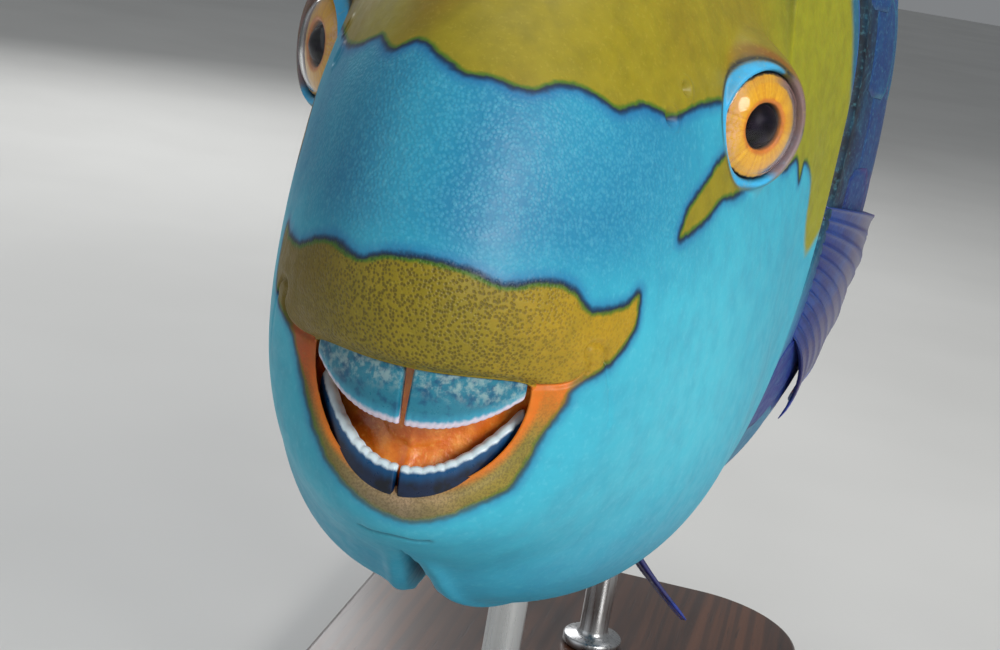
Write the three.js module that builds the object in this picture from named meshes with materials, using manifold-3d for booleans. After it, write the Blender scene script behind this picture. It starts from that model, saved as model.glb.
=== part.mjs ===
// A life-size parrotfish model on a display stand: a big male with a blunt, broad head, a beak of
// four fused tooth plates in a half-open mouth, eyes turned forward, folded pectoral fins and a
// lunate tail. Millimetres, +Z up. The fish faces -Y, its left side is +X, and the origin is the
// middle of the base's underside.
import * as THREE from "three";
import { mergeVertices } from "three/addons/utils/BufferGeometryUtils.js";
import Module from "manifold-3d";

const wasm = await Module();
wasm.setup();

// Driving dimensions. Fish coordinates are x to its left, b back from the middle of the beak, and
// z up from there.
const MOUTH_HEIGHT = 182; // of the beak's middle above the floor
const BASE_CENTRE_B = 225; // b of the base's middle, below the fish's centre of mass
const GAP = 0.3; // between nodes that touch
const MOUTH_GAP = 0.55; // between the lips and what they close on
const RING_SIDES = 36;

const { degToRad: rad, lerp, smoothstep } = THREE.MathUtils;

// The spine is straight through the head, bends a little to the left over the shoulders, and then
// swings to the right.
const SHOULDER_BEND = { from: 140, to: 240, turn: rad(5) };
const TAIL_BEND = { to: 620, turn: rad(20) };

// The spine's heading to the left at a distance b, and its place there as [x, y].
function spineAt(b) {
  const shoulder = SHOULDER_BEND;
  const shoulderRadius = (shoulder.to - shoulder.from) / shoulder.turn;
  const tailRadius = (TAIL_BEND.to - shoulder.to) / TAIL_BEND.turn;
  if (b <= shoulder.from) return { heading: 0, x: 0, y: b };
  if (b <= shoulder.to) {
    const heading = (b - shoulder.from) / shoulderRadius;
    return {
      heading,
      x: shoulderRadius * (1 - Math.cos(heading)),
      y: shoulder.from + shoulderRadius * Math.sin(heading),
    };
  }
  const start = spineAt(shoulder.to);
  const heading = start.heading - (b - shoulder.to) / tailRadius;
  return {
    heading,
    x: start.x + tailRadius * (Math.cos(heading) - Math.cos(start.heading)),
    y: start.y + tailRadius * (Math.sin(start.heading) - Math.sin(heading)),
  };
}

// Puts a point of the straight fish into the part's frame, bent with the spine.
function place(x, b, z) {
  const spine = spineAt(b);
  return new THREE.Vector3(
    spine.x + x * Math.cos(spine.heading),
    spine.y - x * Math.sin(spine.heading) - BASE_CENTRE_B,
    z + MOUTH_HEIGHT,
  );
}

// The skin is a loft of closed rings. A station holds the ring's top point (b, z), its bottom
// point (b, z), the height and half width of its widest point, how far its sides bow back, and the
// fullness of its upper and lower half.
const STATIONS = [
  [28, 5, 28, -15, -4, 12, 0, 2, 2], // back of the mouth
  [19, 9, 20, -20, -4, 19, 4, 2, 2], // mouth cavity
  [5.5, 10.5, 10, -24.5, -1, 22.5, 9, 2.6, 2.1], // behind the lips
  [0.5, 5, 5.5, -17.5, 2.5, 19.5, 10, 3.4, 2.1], // edge of the lips
  [-2.5, 8.5, 3.8, -20.5, 2, 24.5, 15, 2.9, 2.1], // crest of the lips
  [-3.5, 20, 7, -27, 1, 31.5, 21, 2.4, 2.15],
  [1.5, 36, 15, -33, -1, 37, 27, 2.3, 2.25],
  [13, 57, 27, -40, -3, 42.5, 33, 2.35, 2.4], // snout and chin
  [38, 78, 44, -52, -5, 48.5, 36, 2.4, 2.55],
  [75, 94, 75, -64, -4, 53.5, 33, 2.4, 2.5], // over the eyes
  [120, 104, 120, -75, 30, 56, 22, 3.1, 2.7], // gill covers
  [165, 109, 165, -82, 38, 62.5, 8, 3.1, 2.3], // behind the gill opening
  [210, 110, 210, -85, 36, 67, 0, 3, 2.25], // deepest part of the body
  [270, 101, 270, -79, 24, 60, 0, 2.6, 2.15],
  [340, 80, 340, -61, 8, 43, 0, 2.1, 2],
  [400, 57, 400, -38.5, 9, 28, 0, 2, 2],
  [450, 41, 450, -20.5, 9.5, 17, 0, 2, 2],
  [485, 36, 485, -17, 9.5, 11.5, 0, 2, 2], // narrowest part of the tail stem
  [500, 37, 500, -18, 9.5, 8, 0, 2, 2],
  [509, 37, 509, -18, 9.5, 3.2, 0, 2, 2], // root of the tail fin
];
const LIP_EDGE = 3;
const LAST = STATIONS.length - 1;

// A value of the stations at a place u along them, on a smooth curve from the lips back, and on
// straight lines in the mouth.
function stationValue(column, u) {
  const at = Math.min(Math.floor(u), LAST - 1);
  const t = u - at;
  const value = (index) => STATIONS[index][column];
  const [p1, p2] = [value(at), value(at + 1)];
  if (at < LIP_EDGE) return lerp(p1, p2, t);
  const p0 = at === LIP_EDGE ? 2 * p1 - p2 : value(at - 1);
  const p3 = at === LAST - 1 ? 2 * p2 - p1 : value(at + 2);
  const slope = (p2 - p0) * t + (2 * p0 - 5 * p1 + 4 * p2 - p3) * t * t;
  return p1 + 0.5 * (slope + (3 * p1 - p0 - 3 * p2 + p3) * t ** 3);
}

// A point of the skin as [x, b, z]: u runs back along the stations, and angle runs round the ring
// from the left side up.
function skinAt(u, angle) {
  const [topB, topZ, bottomB, bottomZ, sideZ, width, bow, upper, lower] =
    STATIONS[0].map((_, column) => stationValue(column, u));
  const [c, s] = [Math.cos(angle), Math.sin(angle)];
  const power = 2 / (s >= 0 ? upper : lower);
  const across = Math.sign(c) * Math.abs(c) ** power;
  const along = Math.abs(s) ** power;
  const [endB, endZ] = s >= 0 ? [topB, topZ] : [bottomB, bottomZ];
  const sideB = lerp(bottomB, topB, (sideZ - bottomZ) / (topZ - bottomZ));
  return [
    width * across,
    lerp(sideB, endB, along) + bow * across * across,
    lerp(sideZ, endZ, along),
  ];
}

// The argument, between low and high, where a rising function reaches a value.
function solve(rising, value, low, high) {
  for (let step = 0; step < 40; step++) {
    const middle = (low + high) / 2;
    if (rising(middle) < value) low = middle;
    else high = middle;
  }
  return low;
}

// The left half width of the skin at a distance b back and a height z.
function halfWidthAt(b, z) {
  const reach = (angle) => solve((u) => skinAt(u, angle)[1], b, 5, LAST);
  const angle = solve((a) => skinAt(reach(a), a)[2], z, rad(-88), rad(88));
  return skinAt(reach(angle), angle)[0];
}

// The height of the back (angle 90) or the belly (angle -90) at a distance b.
function profileZ(b, angle) {
  const u = solve((at) => skinAt(at, rad(angle))[1], b, 5, LAST);
  return skinAt(u, rad(angle))[2];
}

// Solids

// A closed body of triangles, turned so that they face out.
function geometryOf(points, faces) {
  const across = new THREE.Vector3();
  const volume = faces.reduce(
    (sum, [a, b, c]) => sum + points[a].dot(across.crossVectors(points[b], points[c])),
    0,
  );
  const facing = volume > 0 ? faces : faces.map(([a, b, c]) => [a, c, b]);
  const flat = points.flatMap((p) => [p.x, p.y, p.z]);
  return new THREE.BufferGeometry()
    .setAttribute("position", new THREE.Float32BufferAttribute(flat, 3))
    .setIndex(facing.flat());
}

function solidOf(geometry) {
  const bare = geometry.clone();
  bare.deleteAttribute("normal");
  bare.deleteAttribute("uv");
  const merged = mergeVertices(bare, 1e-4);
  return new wasm.Manifold(
    new wasm.Mesh({
      numProp: 3,
      vertProperties: new Float32Array(merged.attributes.position.array),
      triVerts: new Uint32Array(merged.index.array),
    }),
  );
}

function largestBody(solid) {
  const bodies = solid.decompose();
  return bodies.reduce((a, b) => (a.volume() > b.volume() ? a : b));
}

const union = (...solids) => solids.reduce((a, b) => a.add(b));
const cut = (solid, ...tools) => tools.reduce((a, b) => a.subtract(b), solid);

// Closes rings of equal length into one body, with a point at each end.
function loftGeometry(rings, first, last) {
  const sides = rings[0].length;
  const points = [first, ...rings.flat(), last];
  const at = (ring, side) => 1 + ring * sides + (side % sides);
  const faces = [];
  for (let side = 0; side < sides; side++) {
    faces.push([0, at(0, side + 1), at(0, side)]);
    for (let ring = 0; ring < rings.length - 1; ring++) {
      const [a, b] = [at(ring, side), at(ring, side + 1)];
      const [c, d] = [at(ring + 1, side + 1), at(ring + 1, side)];
      faces.push([a, b, c], [a, c, d]);
    }
    const end = rings.length - 1;
    faces.push([points.length - 1, at(end, side), at(end, side + 1)]);
  }
  return geometryOf(points, faces);
}

// Moves each point along its normal by a distance that may depend on the point's own b and z.
function swollen(geometry, distanceAt) {
  const moved = mergeVertices(geometry.clone(), 1e-4);
  moved.computeVertexNormals();
  const { position, normal } = moved.attributes;
  const point = new THREE.Vector3();
  const out = new THREE.Vector3();
  for (let i = 0; i < position.count; i++) {
    point.fromBufferAttribute(position, i);
    out.fromBufferAttribute(normal, i);
    point.addScaledVector(out, distanceAt(point.y + BASE_CENTRE_B, point.z - MOUTH_HEIGHT));
    position.setXYZ(i, point.x, point.y, point.z);
  }
  return moved;
}

// A prism over an outline of [b, z] points, from one x to another.
function sidePrism(outline, fromX, toX) {
  const shape = new THREE.Shape(outline.map(([b, z]) => new THREE.Vector2(b, z)));
  const geometry = new THREE.ExtrudeGeometry(shape, {
    depth: toX - fromX,
    bevelEnabled: false,
  });
  // The shape's x, y and depth become the part's y, z and x.
  const basis = new THREE.Matrix4().makeBasis(
    new THREE.Vector3(0, 1, 0),
    new THREE.Vector3(0, 0, 1),
    new THREE.Vector3(1, 0, 0),
  );
  geometry.applyMatrix4(basis);
  geometry.translate(fromX, -BASE_CENTRE_B, MOUTH_HEIGHT);
  return solidOf(geometry);
}

function smoothClosed(points, steps) {
  const curve = new THREE.CatmullRomCurve3(
    points.map(([b, z]) => new THREE.Vector3(b, z, 0)),
    true,
  );
  return curve.getPoints(steps).slice(0, -1).map((p) => [p.x, p.y]);
}

// Pushes a clockwise outline out by a distance that may depend on the point.
function widened(outline, distanceAt) {
  return outline.map(([b, z], i) => {
    const [b0, z0] = outline.at(i - 1);
    const [b1, z1] = outline[(i + 1) % outline.length];
    const length = Math.hypot(b1 - b0, z1 - z0);
    const distance = distanceAt(b, z) / length;
    return [b - (z1 - z0) * distance, z + (b1 - b0) * distance];
  });
}

// The whole skin, before it is parted into its nodes

const RING_PLACES = [
  0, 1, 2, 2.5, 3, 3.35, 3.7, 4.1, 4.6, 5.1, 5.6, 6.1, 6.6, 7, 7.4, 7.8, 8.2, 8.6, 9, 9.35, 9.7,
  10, 10.35, 10.7, 11, 11.35, 11.7, 12, 12.5, 13, 13.6, 14.2, 14.8, 15.4, 16, 16.6, 17.2, 17.8,
  18.4, 19,
];

function skinGeometry() {
  const rings = RING_PLACES.map((u) =>
    Array.from({ length: RING_SIDES }, (_, side) =>
      place(...skinAt(u, (side / RING_SIDES) * 2 * Math.PI)),
    ),
  );
  const mouthEnd = STATIONS[0];
  const tailEnd = STATIONS[LAST];
  return loftGeometry(
    rings,
    place(0, mouthEnd[0] + 1, mouthEnd[4]),
    place(0, tailEnd[0] + 0.5, tailEnd[4]),
  );
}

const skin = skinGeometry();
const skinSolid = solidOf(skin);
const skinWithGap = solidOf(swollen(skin, (b) => lerp(MOUTH_GAP, GAP, smoothstep(b, 25, 60))));

// Eyes: low domes whose axes turn forward, in sockets that stand well out from the head behind.
const EYE = { x: 46.4, b: 72, z: 47.9, turn: 52, radius: 12, depth: 7, proud: 2.7 };
const ORBIT = {
  rimRadius: 11.3,
  rimThickness: 1.7,
  rimBelow: 1.6,
  moundRadius: 15.5,
  moundDepth: 9.5,
  moundBelow: 10,
};

// Puts a shape whose +Z looks out of the eye onto the eye's axis, its origin in the middle of the iris.
function onEyeAxis(geometry, side) {
  const turn = rad(EYE.turn);
  const axis = new THREE.Vector3(side * Math.sin(turn), -Math.cos(turn), 0);
  const spin = new THREE.Quaternion().setFromUnitVectors(new THREE.Vector3(0, 0, 1), axis);
  const iris = place(side * EYE.x, EYE.b, EYE.z);
  return geometry.applyQuaternion(spin).translate(iris.x, iris.y, iris.z);
}

function eyeDome(side, radius, depth, below, sides) {
  const ball = new THREE.SphereGeometry(1, sides, sides / 2).rotateX(Math.PI / 2);
  ball.scale(radius, radius, depth).translate(0, 0, -below);
  return solidOf(onEyeAxis(ball, side));
}

const eyeball = (side, grow) =>
  eyeDome(side, EYE.radius + grow, EYE.depth + grow, EYE.depth - EYE.proud, 16);

// The raised socket: a mound of skin with a soft rim that the eyeball looks out of.
function orbit(side) {
  const ring = new THREE.TorusGeometry(ORBIT.rimRadius, ORBIT.rimThickness, 6, 18);
  ring.translate(0, 0, -ORBIT.rimBelow);
  const mound = eyeDome(side, ORBIT.moundRadius, ORBIT.moundDepth, ORBIT.moundBelow, 16);
  return union(mound, solidOf(onEyeAxis(ring, side)));
}

// Nostrils: two small pits in front of each eye.
const NOSTRILS = [
  { b: 40, z: 50, radius: 1.2 },
  { b: 47, z: 55, radius: 1 },
];

function nostrilPits(side) {
  return NOSTRILS.map(({ b, z, radius }) => {
    const pit = new THREE.SphereGeometry(radius, 8, 6).scale(1.6, 1, 1);
    const at = place(side * halfWidthAt(b, z), b, z);
    return solidOf(pit.translate(at.x, at.y, at.z));
  });
}

// The line of the mouth runs on past its corner as a crease under the end of the upper lip.
const CREASE = {
  radius: 0.9,
  steps: 9,
  places: [[2.9, 8], [3.5, 10], [4, 11.5], [4.4, 17], [4.8, 28], [5.1, 34]], // [u, angle]
};

function mouthCrease(side) {
  const turned = (angle) => (side > 0 ? angle : 180 - angle);
  const path = new THREE.CatmullRomCurve3(
    CREASE.places.map(([u, angle]) => place(...skinAt(u, rad(turned(angle))))),
  );
  const section = new THREE.Shape().absarc(0, 0, CREASE.radius, 0, 2 * Math.PI);
  return solidOf(
    new THREE.ExtrudeGeometry(section, { steps: CREASE.steps, curveSegments: 3, extrudePath: path }),
  );
}

// Under the throat the gill covers part along a narrow V that opens backwards, with the
// isthmus's keel in it.
const THROAT = {
  front: 28,
  keelFront: 66,
  rear: 140,
  halfWidth: 0.5,
  spread: 0.14,
  top: -35.5,
  bottom: -110,
  keelGap: 1.2,
};

function throatWedge(from, to, narrower) {
  const halfAt = (b) => THROAT.halfWidth + THROAT.spread * (b - THROAT.front) - narrower;
  const corners = [[-halfAt(from), from], [halfAt(from), from], [halfAt(to), to], [-halfAt(to), to]];
  const shape = new THREE.Shape(
    corners.map(([x, b]) => new THREE.Vector2(x, b - BASE_CENTRE_B)),
  );
  const depth = THROAT.top - THROAT.bottom;
  const wedge = new THREE.ExtrudeGeometry(shape, { depth, bevelEnabled: false });
  return solidOf(wedge.translate(0, 0, MOUTH_HEIGHT + THROAT.bottom));
}

// Gill covers: a plate on each side of the head that stands proud of the flank at its rear edge.
const COVER_OUTLINE = smoothClosed(
  [
    [112, 66], [128, 84], [148, 84], [158, 58], [156, 28], [152, 0], [145, -34], [127, -64],
    [100, -96], [50, -96], [36, -62], [42, -46], [66, -41], [89, -25], [99, 0], [102, 34],
  ],
  54,
);
const COVER = { thickness: 3.5, lift: 1.5, edge: 0.6, slit: 1.4, opening: 9, trough: 5 };
const nearRear = (b, z) => smoothstep(b + 0.2 * Math.abs(z), 100, 152);
// The gill opening gapes along the upper part of the cover's rear edge.
const gape = (z) => smoothstep(z, -15, 24) * (1 - smoothstep(z, 74, 90));

function gillCovers() {
  const outer = solidOf(swollen(skin, (b) => COVER.lift * smoothstep(b, 95, 150)));
  const under = (b) => lerp(COVER.thickness, COVER.edge, smoothstep(b, 105, 152));
  const inner = solidOf(swollen(skin, (b) => -under(b)));
  const shell = cut(outer, inner, throatWedge(THROAT.front, THROAT.rear, 0));
  return [1, -1].map((side) => {
    const near = Math.min(0, side * SIDE_REACH);
    const prism = sidePrism(COVER_OUTLINE, near, near + SIDE_REACH);
    return largestBody(shell.intersect(prism));
  });
}

// The bed that the covers lie in, wider and deeper than they are behind, where the gill opening shows.
function coverBed() {
  const openingAt = (b, z) => lerp(GAP, lerp(COVER.slit, COVER.opening, gape(z)), nearRear(b, z));
  const outline = widened(COVER_OUTLINE, openingAt);
  const depthAt = (b, z) => COVER.thickness + GAP + COVER.trough * gape(z) * smoothstep(b, 130, 156);
  const floor = solidOf(swollen(skin, (b, z) => -depthAt(b, z)));
  const bed = sidePrism(outline, -SIDE_REACH, SIDE_REACH).subtract(floor);
  return bed.subtract(throatWedge(THROAT.keelFront, THROAT.rear, THROAT.keelGap));
}

// The parting lines of head, lower jaw, torso and tail stem, each a region of [b, z] points

const jawRegion = (gap) => [
  [-20, 1 + gap], [17 + gap, 1 + gap], [24 + gap, -3 + gap], [31 + gap, -14 + gap],
  [35 + gap, -30], [37 + gap, -90], [-20, -90],
];
const headRegion = (gap) => [[-30, 150], [126 - gap, 150], [112 - gap, -120], [-30, -120]];
const TAIL_CUT_B = 385;
const CUT_REACH = 200;
const SIDE_REACH = 100; // past the fish's widest point

function tailRegion(gap) {
  const box = new THREE.BoxGeometry(CUT_REACH, CUT_REACH, CUT_REACH);
  const from = TAIL_CUT_B + gap;
  box.translate(0, CUT_REACH / 2, 0).rotateZ(-spineAt(from).heading);
  const at = place(0, from, 0);
  return solidOf(box.translate(at.x, at.y, at.z));
}

// The beak: four plates that bow back at the sides, and the lining that they are set in

const BEAK = {
  upper: { front: 1.2, bow: 10, reach: 18.9, gapTop: 1.1, gapEdge: 0.5 },
  lower: { front: 4.6, bow: 10.5, reach: 18.8, gapTop: 0.35, gapEdge: 0.3 },
  thickness: 3.2,
  steps: 10,
};
// Heights of the cutting edge and of the root, by the share of the way to the plate's outer end.
const beakHeights = {
  upper: (share) => ({ edge: -5.4 + 6.2 * share ** 2.6, root: 9 - 1.5 * share }),
  lower: (share) => ({ edge: -13.6 + 11.5 * share ** 2.2, root: -24 + 14 * share ** 2 }),
};

function beakPlate(jaw, side, grow) {
  const { front, bow, reach, gapTop, gapEdge } = BEAK[jaw];
  const towardEdge = jaw === "upper" ? -1 : 1;
  const sections = Array.from({ length: BEAK.steps + 1 }, (_, step) => {
    const share = step / BEAK.steps;
    const { edge, root } = beakHeights[jaw](share);
    const lean = Math.atan(((2 * bow) / reach) * share);
    const point = (depth, z) => {
      const gap = lerp(gapTop, gapEdge, (z - root) / (edge - root));
      const x = lerp(gap - grow, reach + grow, share);
      const b = front + bow * (x / reach) ** 2;
      return place(
        side * (x - Math.sin(lean) * depth),
        b + Math.cos(lean) * depth,
        z,
      );
    };
    const tip = edge + towardEdge * grow;
    const base = root - towardEdge * grow;
    const middle = (edge + root) / 2;
    return [
      point(0.5 - grow, tip),
      point(-0.5 - grow, lerp(middle, edge, 0.35)),
      point(0 - grow, base),
      point(BEAK.thickness + grow, base),
      point(1.9 + grow, lerp(middle, edge, 0.8)),
      point(1.1 + grow, tip),
    ];
  });
  const middleOf = (section) =>
    section.reduce((sum, p) => sum.add(p), new THREE.Vector3()).divideScalar(section.length);
  const geometry = loftGeometry(
    sections,
    middleOf(sections[0]),
    middleOf(sections.at(-1)),
  );
  return solidOf(geometry);
}

// The orange tissue inside the mouth, a plug behind the plates with a hollow front.
const LINING_SIDES = 24;
const LINING_STATIONS = [
  { b: 9.5, top: 1, bottom: -12, width: 8, bow: 4 },
  { b: 6.4, top: 8.5, bottom: -18, width: 16, bow: 8 },
  { b: 7.5, top: 10, bottom: -23, width: 23.5, bow: 10 },
  { b: 21, top: 9, bottom: -21, width: 19, bow: 3 },
  { b: 27, top: 5, bottom: -15, width: 12, bow: 0 },
];

function mouthLining() {
  const rings = LINING_STATIONS.map(({ b, top, bottom, width, bow }) =>
    Array.from({ length: LINING_SIDES }, (_, side) => {
      const angle = (side / LINING_SIDES) * 2 * Math.PI;
      const across = Math.cos(angle);
      const z = lerp(bottom, top, (1 + Math.sin(angle)) / 2);
      const lean = 0.12 * (top - z);
      return place(width * across, b + bow * across * across + lean, z);
    }),
  );
  const geometry = loftGeometry(rings, place(0, 10.5, -6), place(0, 27.4, -5));
  const plates = ["upper", "lower"].flatMap((jaw) =>
    [1, -1].map((side) => beakPlate(jaw, side, GAP)),
  );
  return largestBody(cut(solidOf(geometry), skinWithGap, ...plates));
}

// Fins: a thin membrane with each ray raised on both faces

const FIN = { membrane: 0.36, crestRoot: 1.25, crestTip: 0.5, ridge: 1.1 };

// A fin from its rays, each with a root, a tip and a bend that its curve is drawn towards, all as
// [x, b, z]. The margin dips between rays by notch, a share of their length. The root is sunk in,
// and cut to the skin.
function finSolid(rays, { rows, notch = 0, crest = FIN.crestRoot }) {
  const vector = (key, s) => {
    const i = Math.min(Math.floor(s), rays.length - 2);
    const [from, to] = [rays[Math.max(i, 0)][key], rays[Math.max(i, 0) + 1][key]];
    return from.map((value, axis) => lerp(value, to[axis], s - Math.max(i, 0)));
  };
  const pointAt = (s, t) => {
    const nearest = Math.abs(s - Math.round(s)) * 2;
    const reach = t * (1 - notch * nearest * Math.min(1, rays.length - 1));
    const [root, bend, tip] = ["root", "bend", "tip"].map((key) => vector(key, s));
    const at = root.map(
      (value, axis) =>
        (1 - reach) ** 2 * value +
        2 * reach * (1 - reach) * bend[axis] +
        reach ** 2 * tip[axis],
    );
    return place(...at);
  };
  const columns = [];
  rays.forEach((ray, i) => {
    const pitch = Math.hypot(...ray.root.map((v, axis) => v - rays[i ? i - 1 : 1].root[axis]));
    const wide = Math.min(0.3, FIN.ridge / Math.max(pitch, 1));
    if (i > 0) columns.push({ s: i - wide, crest: false });
    columns.push({ s: i, crest: true });
    if (i < rays.length - 1) {
      columns.push({ s: i + wide, crest: false });
      if (notch) columns.push({ s: i + 0.5, crest: false });
    }
  });
  const faces = [];
  const front = [];
  const back = [];
  const step = 0.01;
  columns.forEach(({ s, crest: raised }) => {
    for (let row = 0; row <= rows; row++) {
      const t = row / rows;
      const at = pointAt(s, t);
      const [s0, s1] = [Math.max(s - step, 0), Math.min(s + step, rays.length - 1)];
      const across = pointAt(s1, t).sub(pointAt(s0, t));
      const along = pointAt(s, Math.min(t + step, 1)).sub(pointAt(s, Math.max(t - step, 0)));
      const out = across.cross(along).normalize();
      const half = raised ? lerp(crest, FIN.crestTip, t) : FIN.membrane;
      front.push(at.clone().addScaledVector(out, half));
      back.push(at.clone().addScaledVector(out, -half));
    }
  });
  const count = front.length;
  const id = (column, row, behind) => column * (rows + 1) + row + (behind ? count : 0);
  for (let column = 0; column < columns.length - 1; column++) {
    for (let row = 0; row < rows; row++) {
      for (const behind of [false, true]) {
        const a = id(column, row, behind);
        const b = id(column + 1, row, behind);
        const c = id(column + 1, row + 1, behind);
        const d = id(column, row + 1, behind);
        if (behind) faces.push([a, c, b], [a, d, c]);
        else faces.push([a, b, c], [a, c, d]);
      }
    }
    for (const row of [0, rows]) {
      const [a, b] = [id(column, row, false), id(column + 1, row, false)];
      const [c, d] = [id(column + 1, row, true), id(column, row, true)];
      if (row) faces.push([a, b, c], [a, c, d]);
      else faces.push([a, c, b], [a, d, c]);
    }
  }
  for (const column of [0, columns.length - 1]) {
    for (let row = 0; row < rows; row++) {
      const [a, b] = [id(column, row, false), id(column, row + 1, false)];
      const [c, d] = [id(column, row + 1, true), id(column, row, true)];
      if (column) faces.push([a, c, b], [a, d, c]);
      else faces.push([a, b, c], [a, c, d]);
    }
  }
  return largestBody(cut(solidOf(geometryOf([...front, ...back], faces)), skinWithGap));
}

// The rays of a fin along the back (up 1) or the belly (up -1), as tall as heightAt says.
function medianFin({ from, to, count, sink, leanFrom, leanTo, heightAt, up }) {
  return Array.from({ length: count }, (_, i) => {
    const share = i / (count - 1);
    const b = lerp(from, to, share);
    const surface = profileZ(b, up * 90);
    const lean = rad(lerp(leanFrom, leanTo, share));
    const height = heightAt(i, share) + sink;
    const root = [0, b, surface - up * sink];
    const along = (length, angle) => [
      0,
      root[1] + length * Math.cos(angle),
      root[2] + up * length * Math.sin(angle),
    ];
    return {
      root,
      bend: along(height * 0.55, lean + 0.12),
      tip: along(height, lean),
    };
  });
}

const DORSAL_SPINES = 9;
const dorsalRays = medianFin({
  from: 163,
  to: 458,
  count: 19,
  sink: 5,
  leanFrom: 62,
  leanTo: 40,
  up: 1,
  heightAt: (i, share) =>
    i < DORSAL_SPINES ? lerp(27, 38, Math.min(1, i / 4)) : lerp(41, 36, share),
});
const analRays = medianFin({
  from: 340,
  to: 456,
  count: 12,
  sink: 5,
  leanFrom: 60,
  leanTo: 36,
  up: -1,
  heightAt: (i) => (i < 3 ? lerp(13, 27, i / 2) : lerp(34, 32, (i - 3) / 8)),
});

// The tail fin is lunate: its outer rays run on into long lobes.
const TAIL = { root: 502, middle: 74, lobe: 128, rays: 16, rootHalf: 24, spread: 27, centre: 9.5 };
const tailRays = Array.from({ length: TAIL.rays }, (_, i) => {
  const across = (2 * i) / (TAIL.rays - 1) - 1;
  const angle = rad(TAIL.spread * across);
  const length = lerp(TAIL.middle, TAIL.lobe, Math.abs(across) ** 3.2);
  const root = [0, TAIL.root, TAIL.centre + TAIL.rootHalf * across];
  const end = (share, turn) => [
    0,
    root[1] + share * length * Math.cos(angle * turn),
    root[2] + share * length * Math.sin(angle * turn),
  ];
  return { root, bend: end(0.5, 1.25), tip: end(1, 1) };
});

function tailFinHalves() {
  const slab = new THREE.BoxGeometry(CUT_REACH, 2 * CUT_REACH, GAP);
  const at = place(0, TAIL.root, TAIL.centre);
  const whole = finSolid(tailRays, { rows: 4, crest: 1.6 });
  const pieces = whole.subtract(solidOf(slab.translate(at.x, at.y, at.z))).decompose();
  const halves = pieces.sort((a, b) => b.volume() - a.volume()).slice(0, 2);
  const heightOf = (half) => half.boundingBox().max[2];
  return halves.sort((a, b) => heightOf(b) - heightOf(a));
}

// The pectoral fins are folded back along the flanks, their rays fanning down from a slanting base.
const PECTORAL = { rays: 12, topB: 170, topZ: 21, bottomB: 175, bottomZ: -13, long: 104, short: 42 };
function pectoralRays(side) {
  return Array.from({ length: PECTORAL.rays }, (_, i) => {
    const share = i / (PECTORAL.rays - 1);
    const b = lerp(PECTORAL.topB, PECTORAL.bottomB, share);
    const z = lerp(PECTORAL.topZ, PECTORAL.bottomZ, share);
    const length = lerp(PECTORAL.long, PECTORAL.short, share ** 0.8) * (i === 0 ? 0.9 : 1);
    const fall = rad(lerp(8, 48, share));
    // A point that lies out from the flank by a distance, a share of the ray's length along it.
    const end = (reach, out) => {
      const endB = b + reach * length * Math.cos(fall);
      const endZ = z - reach * length * Math.sin(fall);
      return [side * (halfWidthAt(endB, endZ) + out), endB, endZ];
    };
    return {
      root: [side * (halfWidthAt(b, z) - 3), b - 3, z],
      bend: end(0.3, lerp(10.5, 6.5, share)),
      tip: end(1, 2.4),
    };
  });
}

// The pelvic fins hang down, back and a little out from the breast.
const PELVIC = { rays: 6, b: 188, x: 9, pitch: 4.2, long: 72, short: 36 };
function pelvicRays(side) {
  return Array.from({ length: PELVIC.rays }, (_, i) => {
    const share = i / (PELVIC.rays - 1);
    const x = PELVIC.x + PELVIC.pitch * (1 - share) * 2.2;
    const b = PELVIC.b + 2.4 * i;
    const z = profileZ(b, -90) + 2 + x * 0.1;
    const length = lerp(PELVIC.long, PELVIC.short, share ** 1.2) * (i === 0 ? 0.82 : 1);
    const fall = rad(lerp(42, 30, share));
    const outward = rad(lerp(20, 6, share));
    const end = (reach) => [
      side * (x + reach * length * Math.sin(outward)),
      b + reach * length * Math.cos(fall),
      z - reach * length * Math.sin(fall),
    ];
    return { root: [side * x, b - 4, z + 5], bend: end(0.45), tip: end(1) };
  });
}

// The stand: a bevelled base and two short rods up to the belly

const STAND = { length: 300, width: 156, thickness: 17, corner: 40, bevel: 2, rodRadius: 5 };
const ROD_PLACES = { front: 152, rear: 300 };

function standBase() {
  const { length, width, thickness, corner, bevel } = STAND;
  const [w, l, c] = [width / 2 - bevel, length / 2 - bevel, corner - bevel];
  const shape = new THREE.Shape();
  shape.moveTo(w, -l + c);
  shape.lineTo(w, l - c);
  shape.absarc(w - c, l - c, c, 0, Math.PI / 2);
  shape.lineTo(-w + c, l);
  shape.absarc(-w + c, l - c, c, Math.PI / 2, Math.PI);
  shape.lineTo(-w, -l + c);
  shape.absarc(-w + c, -l + c, c, Math.PI, 1.5 * Math.PI);
  shape.lineTo(w - c, -l);
  shape.absarc(w - c, -l + c, c, 1.5 * Math.PI, 2 * Math.PI);
  const geometry = new THREE.ExtrudeGeometry(shape, {
    depth: thickness - 2 * bevel,
    bevelThickness: bevel,
    bevelSize: bevel,
    bevelSegments: 1,
    curveSegments: 6,
  });
  return solidOf(geometry.translate(0, 0, bevel));
}

function standRod(b) {
  const foot = STAND.thickness + GAP;
  const top = MOUTH_HEIGHT + profileZ(b, -90) + 6;
  const rod = new THREE.CylinderGeometry(STAND.rodRadius, STAND.rodRadius, top - foot, 20);
  rod.rotateX(Math.PI / 2);
  const at = place(0, b, 0);
  rod.translate(at.x, at.y, (top + foot) / 2);
  return largestBody(solidOf(rod).subtract(skinWithGap));
}

// Assembly

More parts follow.
